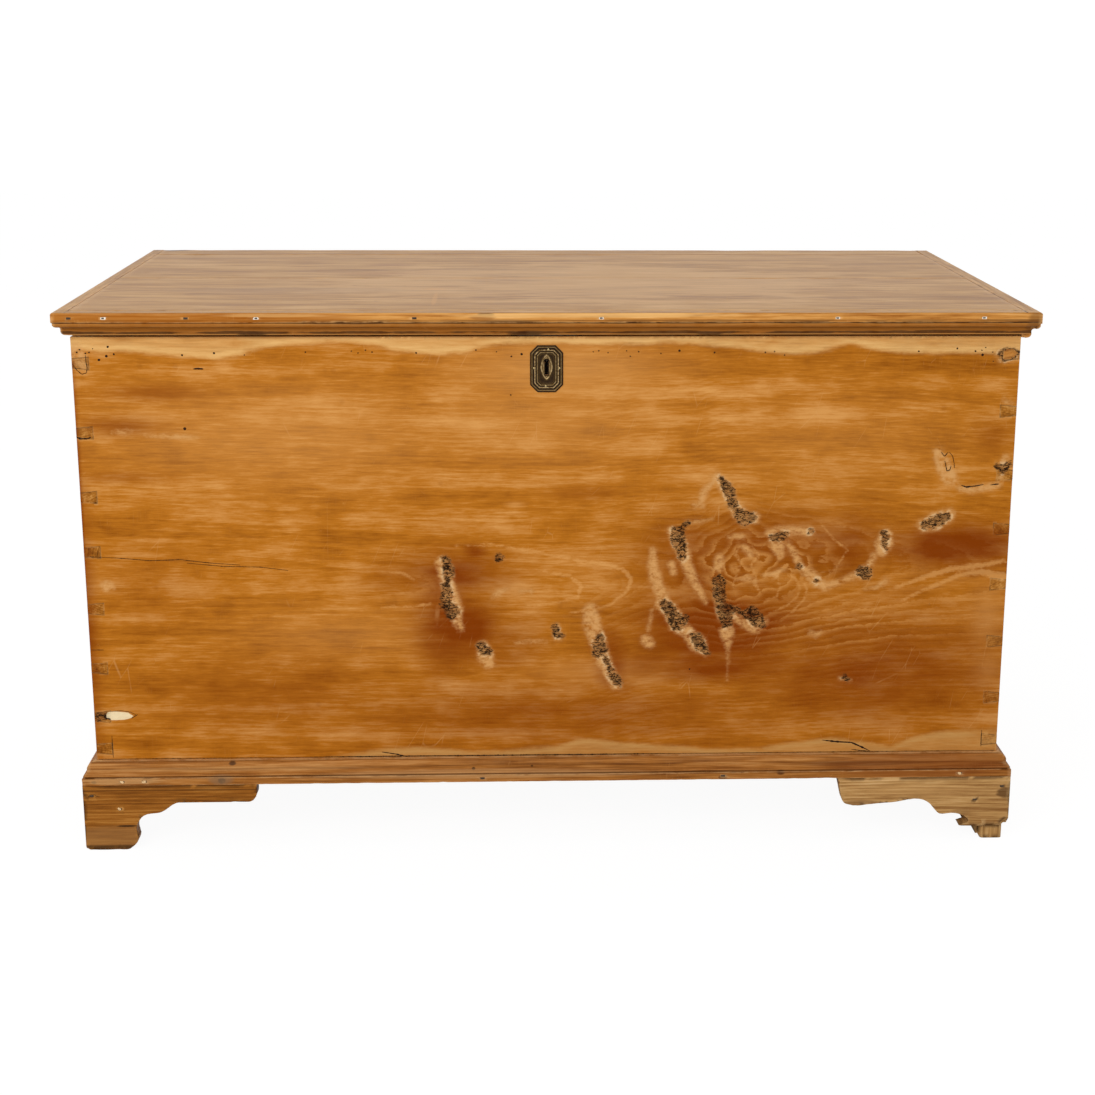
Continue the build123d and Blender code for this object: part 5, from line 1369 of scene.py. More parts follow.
@dataclass
class KeyholePlate:
    """Stamped brass plate: nested eight-sided ribs round a pointed oval and the keyhole. Millimetres."""

    x: float = 0.0
    z: float = 0.0
    face: float = -283.5
    width: float = 35.6
    height: float = 51.0
    chamfer: float = 8.0
    eye: float = 8.2
    eye_radius: float = 2.3
    slot_half: float = 1.75
    slot_low: float = -6.8
    centre: float = 2.0
    steps: int = 160
    # Distance in from the edge, and height over the board
    profile: Line = (
        (0, 0), (0, 0.6), (0.25, 0.85), (0.7, 0.95), (1.3, 1), (1.7, 1.35), (2.1, 1.5), (2.5, 1.35),
        (2.9, 0.95), (3.6, 0.85), (4.3, 1), (4.7, 1.8), (5.1, 2.08), (5.6, 2), (6, 1.2), (6.4, 0.9),
        (7, 0.9), (7.4, 1.4), (7.8, 1.65), (8.3, 1.4), (8.7, 0.95), (9.1, 0.9), (9.5, 1.3), (9.8, 1.1),
    )
    # Half widths and half heights of the pointed ovals, and the ridge round the keyhole
    outer_oval: tuple[float, float] = (6.8, 14.2)
    inner_oval: tuple[float, float] = (5.4, 12.2)
    ridge: float = 0.8
    brass: Metal = Metal(
        "old_brass", base=(104, 78, 38), patina=(40, 25, 10), bright=(194, 166, 120), cloud=0.4,
        metallic=0.7, rough=0.42, grain=0.6, rubbed=0.95, soiled=1.0,
    )

    def build(self) -> None:
        """Builds the plate and stands it for its node."""
        low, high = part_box("keyhole_plate")
        self.x = (low[0] + high[0]) / 2 / MM
        self.z = (low[2] + high[2]) / 2 / MM
        angles = np.linspace(0, 2 * math.pi, self.steps, endpoint=False)
        loops = [(self.octagon(angles, inset), rise) for inset, rise in self.profile]
        hole, recess = self.keyhole(angles), self.keyhole(angles, self.ridge)
        oval, inner = self.oval(angles, *self.outer_oval), self.oval(angles, *self.inner_oval)
        loops += [((loops[-1][0] + oval) / 2, 1.0), (oval, 1.15), ((oval + inner) / 2, 1.9), (inner, 1.7)]
        loops += [((inner * 2 + recess) / 3, 1.25), ((inner + 2 * recess) / 3, 1.55), (recess, 1.4)]
        loops += [(recess - 0.05, 0.5), (hole, 0.4), (hole, 0.0)]
        self.mesh(angles, loops)

    def octagon(self, angles: Array, inset: float) -> Array:
        """Distance from the centre to the plate's outline, set in by inset."""
        c, s = np.cos(angles), np.sin(angles)
        half_w = self.width / 2 - inset
        half_h = self.height / 2 - inset
        root = math.sqrt(0.5)
        corner = (half_w + half_h - self.chamfer + inset * (2 - math.sqrt(2))) * root
        lines = [(1, 0, half_w), (-1, 0, half_w), (0, 1, half_h), (0, -1, half_h)]
        lines += [(a * root, b * root, corner) for a in (-1, 1) for b in (-1, 1)]
        best = np.full(len(angles), 1e9)
        for a, b, distance in lines:
            along = a * c + b * s
            reach = np.where(along > 1e-6, (distance - b * self.centre) / np.maximum(along, 1e-6), 1e9)
            best = np.minimum(best, reach)
        return best

    def oval(self, angles: Array, half_w: float, half_h: float) -> Array:
        """Distance from the centre to a pointed oval."""
        c, s = np.abs(np.cos(angles)), np.abs(np.sin(angles))
        return 1 / ((c / half_w) ** 1.5 + (s / half_h) ** 1.5) ** (1 / 1.5)

    def keyhole(self, angles: Array, grow: float = 0.0) -> Array:
        """Distance from the centre to the keyhole's edge, or to a line grow millimetres outside it."""
        reach = []
        up = self.eye - self.centre
        for angle in angles:
            c, s = math.cos(angle), math.sin(angle)
            side = (self.slot_half + grow) / max(abs(c), 1e-6)
            floor = (self.slot_low - grow - self.centre) / s if s < -1e-6 else 1e9
            slot = min(side, floor)
            along = up * s
            inside = along**2 - up**2 + (self.eye_radius + grow) ** 2
            eye = along + math.sqrt(inside) if inside > 0 and along > 0 else 0.0
            reach.append(max(eye, slot if slot * s <= up else 0.0) or min(slot, up / max(s, 1e-6)))
        return np.array(reach)

    def mesh(self, angles: Array, loops: Sequence[tuple[Array, float]]) -> None:
        """Joins the loops into a closed plate."""
        verts = []
        rise = []
        for radii, height in loops:
            for angle, radius in zip(angles, radii):
                wear = 0.06 * noise.noise(Vector((angle * 4, radius * 0.4, 0.3))) if height > 0.9 else 0.0
                x = self.x + radius * math.cos(angle)
                z = self.z + self.centre + radius * math.sin(angle)
                verts.append((x * MM, (self.face - height + abs(wear)) * MM, z * MM))
                rise.append(height)
        rise = np.array(rise)
        mesh = mesh_of(
            "keyhole_plate_worn", verts, tube(len(loops), len(angles), closed=True), outward=True,
            proud=np.clip((rise - 1.25) / 0.55, 0, 1), hollow=np.clip((1.4 - rise) / 0.4, 0, 1),
        )
        stand(add_piece("keyhole_plate_worn", mesh, [self.brass]), Body.CHEST, ["keyhole_plate"])


@dataclass
class Ironwork:
    """Hinges, lock and link plate."""

    iron: Metal = Metal(
        "hinge_iron", base=(66, 57, 50), patina=(52, 34, 22), bright=(120, 110, 98), rough=0.55,
    )
    steel: Metal = Metal(
        "lock_steel", base=(70, 62, 55), patina=(46, 30, 20), bright=(122, 114, 103), rough=0.5,
    )

    def build(self) -> None:
        """Gives every iron node its aged copy."""
        for side in ("left", "right"):
            self.piece(f"{side}_hinge_box_leaf", Body.CHEST, self.iron, "hinge_iron")
            self.piece(f"{side}_hinge_lid_leaf", Body.LID, self.iron, "hinge_iron")
            self.piece(f"{side}_hinge_pin", Body.CHEST, self.iron, "hinge_iron")
        for node in ("lock_case", "lock_cap", "lock_key_post", "lock_spring"):
            self.piece(node, Body.CHEST, self.steel, "lock_iron")
        self.piece("lock_bolt", Body.BOLT, self.steel, "lock_iron")
        self.piece("link_plate", Body.LID, self.steel, "lock_iron")

    def piece(self, node: str, body: Body, metal: Metal, slot: str) -> None:
        """Ages one CAD node into a shown piece."""
        WornPiece(node).border(1.2).finish(node + "_aged", body, [metal], slot=slot)


@dataclass(frozen=True)
class Fastener:
    """One nail, screw or pin of a CAD node: middle of its head, direction, and sizes in metres."""

    head: Vector
    aim: Vector
    length: float
    radius: float


def fasteners_in(node: str) -> list[Fastener]:
    """Finds the separate solids of a node, and which end of each is its head."""
    bm = bmesh.new()
    bm.from_mesh(bpy.data.objects[node].data)
    bmesh.ops.remove_doubles(bm, verts=bm.verts, dist=1e-6)
    found = []
    left = set(bm.verts)
    while left:
        queue = [left.pop()]
        island = [queue[0]]
        while queue:
            for edge in queue.pop().link_edges:
                for vert in edge.verts:
                    if vert in left:
                        left.remove(vert)
                        queue.append(vert)
                        island.append(vert)
        co = np.array([vert.co for vert in island])
        low, high = co.min(0), co.max(0)
        axis = int(np.argmax(high - low))
        others = [index for index in range(3) if index != axis]
        middle = (low + high) / 2
        wide = np.abs(co[:, others] - middle[others]).max(1)
        near_low = wide[co[:, axis] < low[axis] + 0.25 * (high - low)[axis]].max()
        near_high = wide[co[:, axis] > high[axis] - 0.25 * (high - low)[axis]].max()
        aim = np.zeros(3)
        aim[axis] = 1.0 if near_low >= near_high else -1.0
        head = middle.copy()
        head[axis] = low[axis] if near_low >= near_high else high[axis]
        length = float((high - low)[axis])
        found.append(Fastener(Vector(head), Vector(aim), length, float(max(near_low, near_high))))
    bm.free()
    return sorted(found, key=lambda f: tuple(round(value, 4) for value in f.head))


class Scatter:
    """Puts copies of a template on points by geometry nodes, and makes the result a plain mesh."""

    def __init__(self) -> None:
        """Builds the node group."""
        self.group = bpy.data.node_groups.new("place_copies", "GeometryNodeTree")
        face = self.group.interface
        for name, kind in (("Geometry", "Geometry"), ("Template", "Object"), ("Material", "Material"),
                           ("Seed", "Int"), ("Uneven", "Float")):
            face.new_socket(name, in_out="INPUT", socket_type="NodeSocket" + kind)
        face.new_socket("Geometry", in_out="OUTPUT", socket_type="NodeSocketGeometry")
        t = Tree(self.group)
        given = t.node("NodeGroupInput", {}).outputs
        uneven, seed = given["Uneven"], given["Seed"]
        points = t.node("GeometryNodeMeshToPoints", {"Mesh": given["Geometry"]}).outputs[0]
        model = t.node("GeometryNodeObjectInfo", {"Object": given["Template"], "As Instance": True})
        aim, size = (
            t.node("GeometryNodeInputNamedAttribute", {"Name": name}, data_type="FLOAT_VECTOR").outputs[0]
            for name in ("aim", "size")
        )
        turn = t.node("FunctionNodeAlignRotationToVector", {"Vector": aim}, axis="Z").outputs[0]
        chance = {0: t.math("SUBTRACT", 1.0, uneven), 1: (1.0, 1.0, 1.0), "Seed": seed}
        luck = t.node("FunctionNodeRandomValue", chance, data_type="FLOAT_VECTOR").outputs[0]
        inputs = {"Points": points, "Instance": model.outputs["Geometry"], "Rotation": turn}
        inputs["Scale"] = t.vectors("MULTIPLY", size, luck)
        copies = t.node("GeometryNodeInstanceOnPoints", inputs).outputs[0]
        chance = {2: -math.pi, 3: math.pi, "Seed": seed}
        spin = t.node("FunctionNodeRandomValue", chance, data_type="FLOAT").outputs[1]
        twist = t.node("ShaderNodeCombineXYZ", {2: t.math("MULTIPLY", spin, uneven)}).outputs[0]
        turned = t.node("GeometryNodeRotateInstances", {"Instances": copies, "Rotation": twist}).outputs[0]
        real = t.node("GeometryNodeRealizeInstances", {"Geometry": turned}).outputs[0]
        painted = t.node("GeometryNodeSetMaterial", {"Geometry": real, "Material": given["Material"]})
        t.node("NodeGroupOutput", {"Geometry": painted.outputs[0]})

    def place(
        self, name: str, body: Body, template: Mesh, spots: Sequence[tuple[Vector, Vector, Vector]],
        finish: Finish, seed: int, uneven: float = 0.0, nodes: Sequence[str] = (), slot: str = "",
    ) -> Object:
        """Puts one copy on each spot.

        Args:
            name: name of the piece.
            body: the body that it moves with.
            template: mesh that points along +Z from its head.
            spots: place, direction and size of each copy.
            finish: the copies' finish.
            seed: seed of the copies' chance.
            uneven: how much the copies' sizes and turns differ, from 0 to 1.
            nodes: CAD nodes that the piece stands for.
            slot: not used.

        Returns:
            The object.
        """
        model = add_object(name + "_template", template)
        mesh = mesh_of(name + "_spots", [spot[0] for spot in spots], [])
        for index, key in ((1, "aim"), (2, "size")):
            layer = mesh.attributes.new(key, "FLOAT_VECTOR", "POINT")
            layer.data.foreach_set("vector", np.array([spot[index] for spot in spots], np.float32).ravel())
        holder = add_object(name + "_spots", mesh)
        modifier = holder.modifiers.new("place_copies", "NODES")
        modifier.node_group = self.group
        values = {"Template": model, "Material": material_of(finish), "Seed": seed, "Uneven": uneven}
        for socket in self.group.interface.items_tree:
            if socket.in_out == "INPUT" and socket.name in values:
                modifier[socket.identifier] = values[socket.name]
        bpy.context.view_layer.update()
        evaluated = holder.evaluated_get(bpy.context.evaluated_depsgraph_get())
        made = bpy.data.meshes.new_from_object(evaluated)
        made.name = name
        holder.modifiers.remove(modifier)
        bpy.data.objects.remove(holder)
        bpy.data.objects.remove(model)
        made.materials.clear()
        return stand(add_piece(name, made, [finish]), body, nodes)


def turned_mesh(name: str, outline: Line, sides: int, proud: Sequence[float]) -> Mesh:
    """Closed turned shape about +Z.

    Args:
        name: name of the mesh.
        outline: (radius, height) points; the first and last lie on the axis.
        sides: number of sides.
        proud: how worn each outline point is, from 0 to 1.

    Returns:
        The mesh.
    """
    verts = [(0.0, 0.0, outline[0][1])]
    worn = [proud[0]]
    for (radius, height), value in list(zip(outline, proud))[1:-1]:
        for i in range(sides):
            angle = 2 * math.pi * i / sides
            verts.append((radius * math.cos(angle), radius * math.sin(angle), height))
            worn.append(value)
    verts.append((0.0, 0.0, outline[-1][1]))
    worn.append(proud[-1])
    faces = []
    last = len(verts) - 1
    rings = len(outline) - 2
    for i in range(sides):
        j = (i + 1) % sides
        faces.append((0, 1 + j, 1 + i))
        for ring in range(rings - 1):
            a, b = 1 + ring * sides, 1 + (ring + 1) * sides
            faces.append((a + i, a + j, b + j, b + i))
        faces.append((last, 1 + (rings - 1) * sides + i, 1 + (rings - 1) * sides + j))
    return mesh_of(name, verts, faces, proud=worn, hollow=np.zeros(len(worn)))


def nail_mesh(half: float, thick: float, length: float) -> Mesh:
    """Cut nail along +Z: hammered, slightly domed head over a flat tapered shank. Metres."""
    # Share of the width, share of the thickness, height and wear of each ring
    rows = (
        (0.55, 0.6, 0.0, 0.5), (0.95, 0.95, 0.0003, 1.0), (1.0, 1.0, 0.0008, 0.6),
        (0.66, 0.98, 0.0012, 0.0), (0.62, 0.95, 0.4 * length, 0.0), (0.24, 0.9, length, 0.0),
    )
    sides = 12
    verts, worn = [], []
    for wide, deep, z, value in rows:
        for i in range(sides):
            angle = 2 * math.pi * (i + 0.5) / sides
            c, s = math.cos(angle), math.sin(angle)
            soft = (1 / max(abs(c), abs(s))) ** 0.8
            wobble = 1 - 0.05 * abs(noise.noise(Vector((c * 3, s * 3, z * 900))))
            verts.append((c * soft * half * wide * wobble, s * soft * thick * deep * wobble, z))
            worn.append(value)
    end = (len(rows) - 1) * sides
    faces = [tuple(range(sides - 1, -1, -1)), *tube(len(rows), sides), tuple(range(end, end + sides))]
    return mesh_of("nail", verts, faces, proud=worn, hollow=np.zeros(len(worn)))


def screw_mesh(radius: float, shank: float, depth: float, length: float) -> Mesh:
    """Slotted countersunk screw along +Z with a worn slot and a threaded shank. Metres."""
    outline = [(0.0, 0.0), (radius * 0.6, 0.0), (radius * 0.96, 0.00005), (radius, 0.0003), (shank, depth)]
    proud = [0.3, 0.5, 1.0, 0.6, 0.0]
    turns = 9
    for index in range(turns):
        share = index / turns
        z = depth + (length - depth) * (0.3 + 0.6 * share)
        outline += [(shank * 0.98, z), (shank * 0.75, z + 0.0004)]
        proud += [0.5, 0.0]
    outline += [(shank * 0.3, length - 0.0003), (0.0, length)]
    proud += [0.0, 0.0]
    mesh = turned_mesh("screw", outline, 24, proud)
    bm = bmesh.new()
    bm.from_mesh(mesh)
    # Half width and depth of the slot, and how deep the head's top reaches
    half, sunk, skin = 0.0004, 0.0009, 0.0002
    for sign in (-1, 1):
        top = [face for face in bm.faces if face.calc_center_median().z < skin]
        geom = {vert for face in top for vert in face.verts} | {edge for face in top for edge in face.edges}
        geom = [*geom, *top]
        bmesh.ops.bisect_plane(bm, geom=geom, dist=1e-8, plane_co=(0, sign * half, 0), plane_no=(0, 1, 0))
    floor = []
    for face in bm.faces:
        middle = face.calc_center_median()
        if middle.z < skin and abs(middle.y) < half:
            floor.append(face)
    made = bmesh.ops.extrude_face_region(bm, geom=floor)
    verts = [item for item in made["geom"] if isinstance(item, bmesh.types.BMVert)]
    bmesh.ops.delete(bm, geom=floor, context="FACES")
    hollow = bm.verts.layers.float.get("hollow")
    for vert in verts:
        vert.co.z += sunk
        vert[hollow] = 1.0
    bmesh.ops.recalc_face_normals(bm, faces=bm.faces)
    bm.to_mesh(mesh)
    bm.free()
    return mesh


@dataclass
class Fasteners:
    """Nails, screws, pins, filler spots and worm holes."""

    scatter: Scatter
    front: float = -283.5
    # Sizes in metres: a nail's head, a screw's shank and the depth of its head
    nail_half: float = 0.0023
    nail_thick: float = 0.0011
    small_head: float = 0.003
    small_screw: tuple[float, float] = (0.0011, 0.0015)
    large_screw: tuple[float, float] = (0.0015, 0.0017)
    pin: Line = (
        (0.0, 0.0), (0.0005, 0.0001), (0.001, 0.0003), (0.00125, 0.0007), (0.0007, 0.0008), (0.0006, 0.004),
        (0.0, 0.0061),
    )
    dab: Line = (
        (0.0, 0.0), (0.0012, 0.00003), (0.0022, 0.0001), (0.0028, 0.0003), (0.0024, 0.0006), (0.0, 0.0006),
    )
    hole: Line = ((0.0, 0.0), (0.6, 0.0), (0.95, 0.04), (1.0, 0.3), (0.0, 0.5))
    # Widths of the filler's smears by turns, and their shift off the nails
    smears: tuple[float, ...] = (2.6, 2.3, 2.0, 1.7, 2.2)
    shift: tuple[float, float, float] = (0.0006, 0.00005, 0.0)
    low_shift: tuple[float, float, float] = (-0.0004, -0.0003, 0.0)
    # Numbers of the nails that filler covers
    filled: tuple[int, ...] = (1, 3, 5, 6, 7)
    plinth_filled: tuple[int, ...] = (0, 1, -1)
    bracket_filled: tuple[int, ...] = (1,)
    # Places on the front's face and radii, in millimetres
    holes: Stroke = (
        (-394, 561, 1.3), (-360, 563, 1.3), (-328, 561, 1), (-263, 564, 1), (-214, 565, 1), (-207, 563, 1),
        (-199, 566, 1), (-192, 564, 1), (-145, 563, 1.5), (-81, 566, 1), (-59, 564, 1), (-43, 559, 1.1),
        (-32, 561.5, 1.7), (45, 564, 1), (51, 565, 1), (61, 563, 1), (81, 565, 1), (85, 559, 1),
        (94, 564, 1), (118, 562, 1), (138, 565, 1.4), (176, 563, 1.5), (231, 563, 1), (241, 564, 1),
        (252, 560, 1), (398, 564, 1.2), (440, 567, 1.5), (460, 564, 1.5), (468, 560, 2), (471, 568, 1),
        (479, 563, 1), (467, 565, 1), (480, 553, 1), (-472, 570, 1.4), (-474, 560, 2), (-482, 556, 1.7),
        (-466, 562, 1.4), (-502, 567, 1.2), (-505, 564, 1), (-492, 564, 1.2), (-496, 563, 1),
        (-488, 568, 0.8), (-395, 481, 1.8), (-44, 517, 1.2), (155, 204, 1.2),
    )
    nail_iron: Metal = Metal(
        "nail_iron", base=(66, 54, 46), patina=(40, 24, 14), bright=(112, 98, 84), metallic=0.6, rough=0.6,
    )
    screw_steel: Metal = Metal(
        "screw_steel", base=(120, 112, 102), patina=(70, 48, 32), bright=(178, 170, 158), rough=0.45,
    )
    pin_brass: Metal = Metal(
        "pin_brass", base=(128, 106, 64), patina=(60, 46, 26), bright=(206, 186, 140), rough=0.35,
    )

    def build(self) -> None:
        """Builds every fastener."""
        for node, body in (("lid_moulding_nails", Body.LID), ("plinth_nails", Body.CHEST),
                           ("bracket_nails", Body.CHEST), ("bottom_board_nails", Body.CHEST)):
            template = nail_mesh(self.nail_half, self.nail_thick, fasteners_in(node)[0].length)
            self.copies(node, body, template, self.nail_iron, 5, "nail_iron")
        for node, body in (("hinge_screws_box", Body.CHEST), ("hinge_screws_lid", Body.LID),
                           ("lock_screws", Body.CHEST), ("link_plate_screws", Body.LID)):
            screw = fasteners_in(node)[0]
            shank, depth = self.small_screw if screw.radius < self.small_head else self.large_screw
            template = screw_mesh(screw.radius, shank, depth, screw.length)
            self.copies(node, body, template, self.screw_steel, 8, "screw_steel")
        template = turned_mesh("pin", self.pin, 16, [1.0, 1.0, 0.8, 0.3, 0.0, 0.0, 0.0])
        self.copies("keyhole_plate_pins", Body.CHEST, template, self.pin_brass, 3, "brass_pins")
        self.filler()
        self.worm_holes()

    def copies(self, node: str, body: Body, template: Mesh, metal: Metal, seed: int, slot: str) -> None:
        """Puts a copy of a template in the place of each fastener of a node."""
        spots = [(found.head, found.aim, Vector((1, 1, 1))) for found in fasteners_in(node)]
        self.scatter.place(node + "_worn", body, template, spots, metal, seed, 0.0, [node], slot)

    def filler(self) -> None:
        """White filler smeared over some of the lid's front nails."""
        template = turned_mesh("filler", self.dab, 20, [0.0] * len(self.dab))
        for vert in template.vertices:
            ragged = 1 + 0.45 * noise.noise(Vector((vert.co.x * 900, vert.co.y * 900, 2.0)))
            vert.co.x *= ragged
            vert.co.y *= ragged
        nails, low, feet = (
            [nail for nail in fasteners_in(node) if nail.aim.y > 0.5]
            for node in ("lid_moulding_nails", "plinth_nails", "bracket_nails")
        )
        spots = []
        for index in self.filled:
            wide = self.smears[index % len(self.smears)]
            spots.append((nails[index].head + Vector(self.shift), INWARD, Vector((wide, 0.95, 1.0))))
        putty = Putty("nail_putty")
        self.scatter.place("lid_nail_filler", Body.LID, template.copy(), spots, putty, 11, 0.15)
        hidden = [low[index] for index in self.plinth_filled] + [feet[index] for index in self.bracket_filled]
        spots = [(nail.head + Vector(self.low_shift), INWARD, Vector((0.85, 0.6, 1.0))) for nail in hidden]
        stopping = Putty("old_stopping", white=(232, 198, 150), dirty=(176, 132, 80))
        self.scatter.place("plinth_nail_filler", Body.CHEST, template, spots, stopping, 13, 0.2)

    def worm_holes(self) -> None:
        """Small flight holes in the front board: dark lenses at the face, painted shade of the holes."""
        template = turned_mesh("worm_hole", self.hole, 10, [0.0] * len(self.hole))
        spots = []
        for x, z, radius in self.holes:
            place = Vector((x, self.front + 0.02, z)) * MM
            spots.append((place, INWARD, Vector((radius, radius, 1.0)) * MM))
        # Painted shade of the holes
        dark = Putty("hole_shade", white=(38, 22, 12), dirty=(70, 40, 18))
        self.scatter.place("front_worm_holes", Body.CHEST, template, spots, dark, 17, 0.35)


@dataclass
class Cracks:
    """Thin open cracks and knife lines on the front, as dark ribbons that lie on the face: painted shade
    inside the cracks.
    """

    front: float = -283.5
    # How far the ribbons stand proud and reach into the board, their least half width and their points' pitch
    proud: float = 0.03
    deep: float = 0.6
    least: float = 0.2
    pitch: float = 1.0
    # Each line's width in the middle, then its points (x, height), in millimetres
    lines: tuple[tuple[float, Line], ...] = (
        (1.1,
         ((-510, 551), (-506, 545), (-501, 540.5), (-496, 542), (-495, 547.5), (-496, 554), (-496, 561))),
        (2.2, ((-511, 472.5), (-507, 470.2), (-499, 470.4), (-495.5, 472))),
        (2.6, ((-383, 546), (-378, 546.4), (-372, 546))),
        (0.9, ((-505, 339), (-472, 337), (-440, 334), (-407, 335), (-375, 331), (-342, 328.5))),
        (0.8, ((-400, 331), (-360, 327), (-320, 326), (-290, 322))),
        (1.6, ((-192, 108.4), (-177, 106), (-163, 102.5))),
        (2.4, ((308, 117.6), (323, 115.6), (342, 114.2), (354, 108.6), (364, 103.5))),
        (1.4, ((342, 106), (352, 104.5), (362, 103.6))),
        (1.8, ((452, 415), (458, 412.8), (468, 413.9), (477, 415.6))), (1.4, ((485, 415), (494, 416.1))),
        (1, ((428, 452.4), (432, 447.4), (436, 452.4))),
        (1, ((437, 452.4), (441, 447.9), (443, 440), (443.7, 434.4))),
        (1, ((432.7, 442.3), (435.5, 431), (438.8, 432.1), (439.7, 436.7))),
        (0.9, ((-510, 232), (-496, 231.9))), (0.9, ((-493, 131), (-492.8, 105))),
        (0.7, ((491, 128), (491.2, 108))), (2, ((-500, 152.5), (-493, 150.5))),
        (0.8, ((-493, 160), (-480, 160.4), (-470, 158.6), (-465, 155.5))),
        (1.2, ((-470, 151.6), (-466, 154), (-463, 156))),
        (0.8, ((-509, 103.1), (-420, 103.2), (-305, 103.1))),
        (1.7, ((-305, 103.1), (-180, 103.3), (0, 103.1), (165, 103.2))),
        (0.8, ((165, 103.1), (300, 103.2), (507, 103.1))),
    )

    def build(self) -> None:
        """Builds one mesh of all the lines."""
        verts, faces = [], []
        for number, (width, points) in enumerate(self.lines):
            path = self.resample(points)
            start = len(verts)
            for index, (x, z) in enumerate(path):
                share = index / (len(path) - 1)
                taper = min(1.0, 4 * share + 0.25, 4 * (1 - share) + 0.25)
                jitter = 0.5 + 0.9 * abs(noise.noise(Vector((index * 0.31, number * 7.3, 0.0))))
                half = max(self.least, width * 0.5 * taper * jitter)
                before, after = path[max(0, index - 1)], path[min(len(path) - 1, index + 1)]
                way = Vector((after[0] - before[0], after[1] - before[1])).normalized()
                side = Vector((-way.y, way.x)) * half
                for sign, depth in ((1, -self.proud), (-1, -self.proud), (-1, self.deep), (1, self.deep)):
                    place = (x + sign * side.x, self.front + depth, z + sign * side.y)
                    verts.append(tuple(value * MM for value in place))
            faces += tube(len(path), 4, start)
            end = len(verts) - 4
            faces += [(start + 3, start + 2, start + 1, start), (end, end + 1, end + 2, end + 3)]
        mesh = mesh_of("front_cracks", verts, faces, outward=True)
        # Painted shade inside the cracks
        dark = Putty("crack_shade", white=(34, 20, 12), dirty=(64, 36, 16))
        stand(add_piece("front_cracks", mesh, [dark]), Body.CHEST, [])

    def resample(self, points: Line) -> list[tuple[float, float]]:
        """Points at an even pitch along a line through the given ones."""
        pts = np.array(points)
        lengths = np.concatenate(([0], np.cumsum(np.hypot(*np.diff(pts, axis=0).T))))
        places = np.linspace(0, lengths[-1], max(3, int(lengths[-1] / self.pitch)))
        return list(zip(np.interp(places, lengths, pts[:, 0]), np.interp(places, lengths, pts[:, 1])))


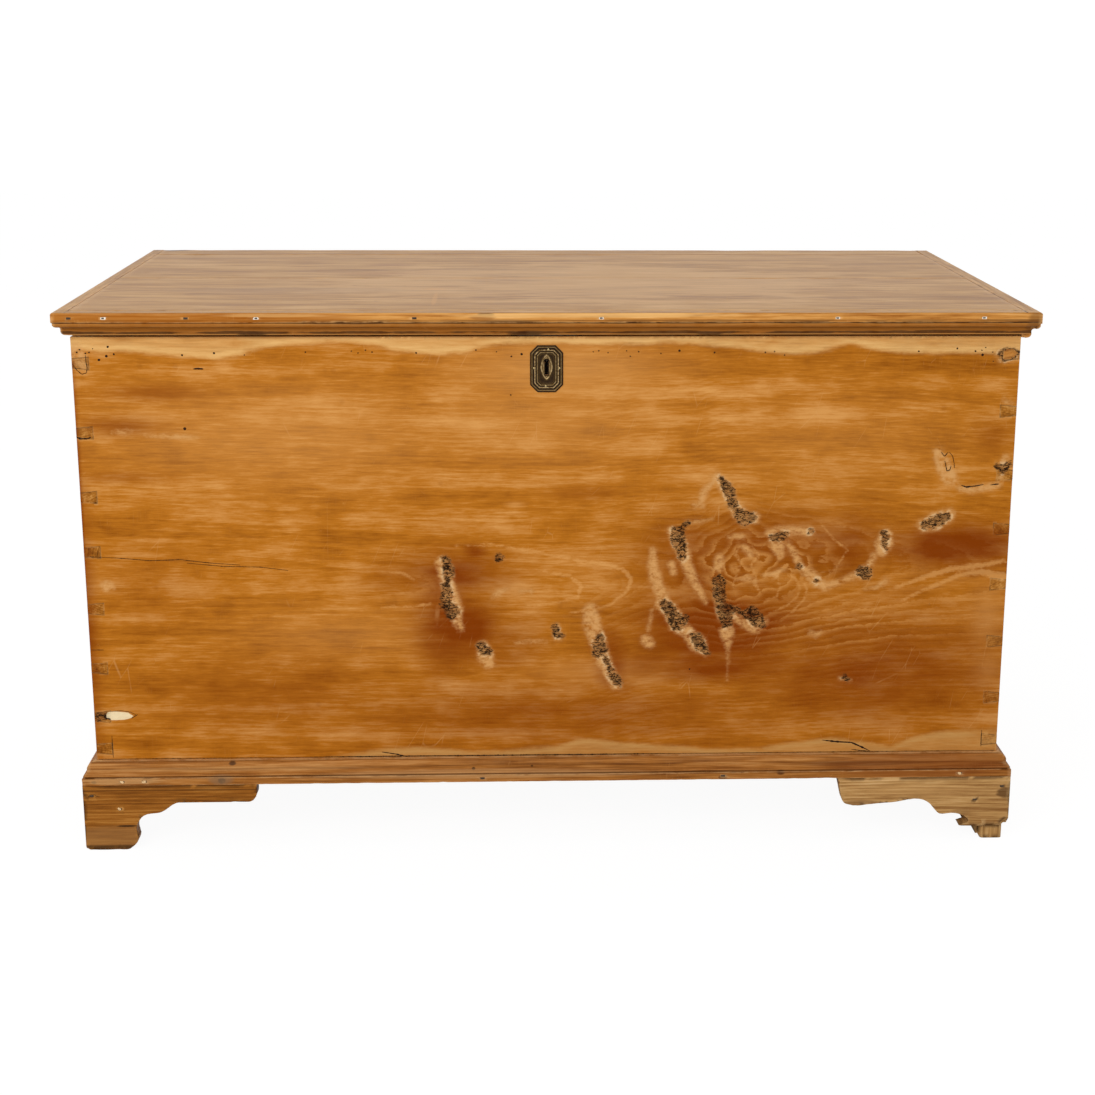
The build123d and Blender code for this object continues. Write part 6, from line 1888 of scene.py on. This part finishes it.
@dataclass
class Studio:
    """White floor and surroundings, soft light and the camera. Places in metres."""

    camera: tuple[float, float, float] = (-0.0380, -2.3716, 0.9000)
    pitch: float = 14.843
    yaw: float = 2.506
    roll: float = -0.317
    focal: float = 1957.8
    frame: float = 1095.0
    sensor: float = 36.0
    shift: float = -0.0479
    clip: tuple[float, float] = (0.05, 60.0)
    surround: float = 0.66
    backdrop: float = 1.1
    floor_half: float = 9.0
    # The floor's own grey, its glow, and how much of the glow the camera sees
    floor_grey: float = 0.85
    floor_glow: float = 1.05
    floor_share: float = 0.9
    key: float = 48.0
    key_size: tuple[float, float] = (2.4, 1.6)
    key_place: tuple[float, float, float] = (-1.1, -3.0, 2.1)
    key_aim: tuple[float, float, float] = (0.0, 0.0, 0.35)

    def build(self) -> None:
        """Builds floor, light and camera."""
        self.build_floor()
        self.build_world()
        self.build_light()
        self.build_camera()

    def build_floor(self) -> None:
        """Large pale floor, shown nearly white."""
        s = Shade("studio_floor")
        matt = s.node("ShaderNodeBsdfDiffuse", {"Color": (self.floor_grey,) * 3}).outputs[0]
        inputs = {"Color": (1.0, 1.0, 1.0), "Strength": self.floor_glow}
        glow = s.node("ShaderNodeEmission", inputs).outputs[0]
        share = s.times(s.sight(), self.floor_share)
        mixed = s.node("ShaderNodeMixShader", {0: share, 1: matt, 2: glow}).outputs[0]
        s.node("ShaderNodeOutputMaterial", {"Surface": mixed})
        half = self.floor_half
        corners = [(-half, -half, 0), (half, -half, 0), (half, half, 0), (-half, half, 0)]
        mesh = mesh_of("floor", corners, [(0, 1, 2, 3)])
        mesh.materials.append(s.material)
        add_object("floor", mesh)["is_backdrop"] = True

    def build_world(self) -> None:
        """Even white surroundings, brighter to the camera than as light."""
        world = bpy.data.worlds.new("studio")
        world.use_nodes = True
        t = Tree(world.node_tree)
        light, white = (
            t.node("ShaderNodeBackground", {"Color": (1.0, 1.0, 1.0), "Strength": strength}).outputs[0]
            for strength in (self.surround, self.backdrop)
        )
        mixed = t.node("ShaderNodeMixShader", {0: t.sight(), 1: light, 2: white}).outputs[0]
        t.node("ShaderNodeOutputWorld", {0: mixed})
        bpy.context.scene.world = world

    def build_light(self) -> None:
        """One large soft light, in front, above and to the left."""
        data = bpy.data.lights.new("softbox", "AREA")
        data.shape = "RECTANGLE"
        data.size, data.size_y = self.key_size
        data.energy = self.key
        light = add_object("softbox", data)
        light.location = self.key_place
        aim = Vector(self.key_aim) - light.location
        light.rotation_mode = "QUATERNION"
        light.rotation_quaternion = aim.to_track_quat("-Z", "Y")
        light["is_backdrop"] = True

    def build_camera(self) -> None:
        """Camera at the photo's place."""
        data = bpy.data.cameras.new("camera")
        data.sensor_width = self.sensor
        data.lens = self.focal * self.sensor / self.frame
        data.shift_x = self.shift
        data.clip_start, data.clip_end = self.clip
        camera = add_object("camera", data)
        pitch, yaw, roll = (math.radians(value) for value in (self.pitch, self.yaw, self.roll))
        ahead = Vector((math.sin(yaw) * math.cos(pitch), math.cos(yaw) * math.cos(pitch), -math.sin(pitch)))
        right = Vector((math.cos(yaw), -math.sin(yaw), 0.0))
        down = ahead.cross(right)
        right, down = (
            math.cos(roll) * right + math.sin(roll) * down, -math.sin(roll) * right + math.cos(roll) * down,
        )
        turn = Matrix((right, -down, -ahead)).transposed()
        camera.matrix_world = Matrix.Translation(Vector(self.camera)) @ turn.to_4x4()
        bpy.context.scene.camera = camera
        bpy.context.scene.view_settings.view_transform = "Standard"


def main() -> None:
    """Builds the dressed chest, piece by piece."""
    logging.basicConfig(level=logging.INFO, format="%(name)s: %(message)s")
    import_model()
    marks = FrontMarks()
    for part in (
        Carcase(marks), Lid(), Plinth(), Feet(), KeyholePlate(), Ironwork(), Fasteners(Scatter()), Cracks(),
        Studio(),
    ):
        part.build()
        log.info("built %s", type(part).__name__)
    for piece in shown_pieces():
        log.info("piece %s: %d faces", piece.name, len(piece.data.polygons))


if __name__ == "__main__":
    main()
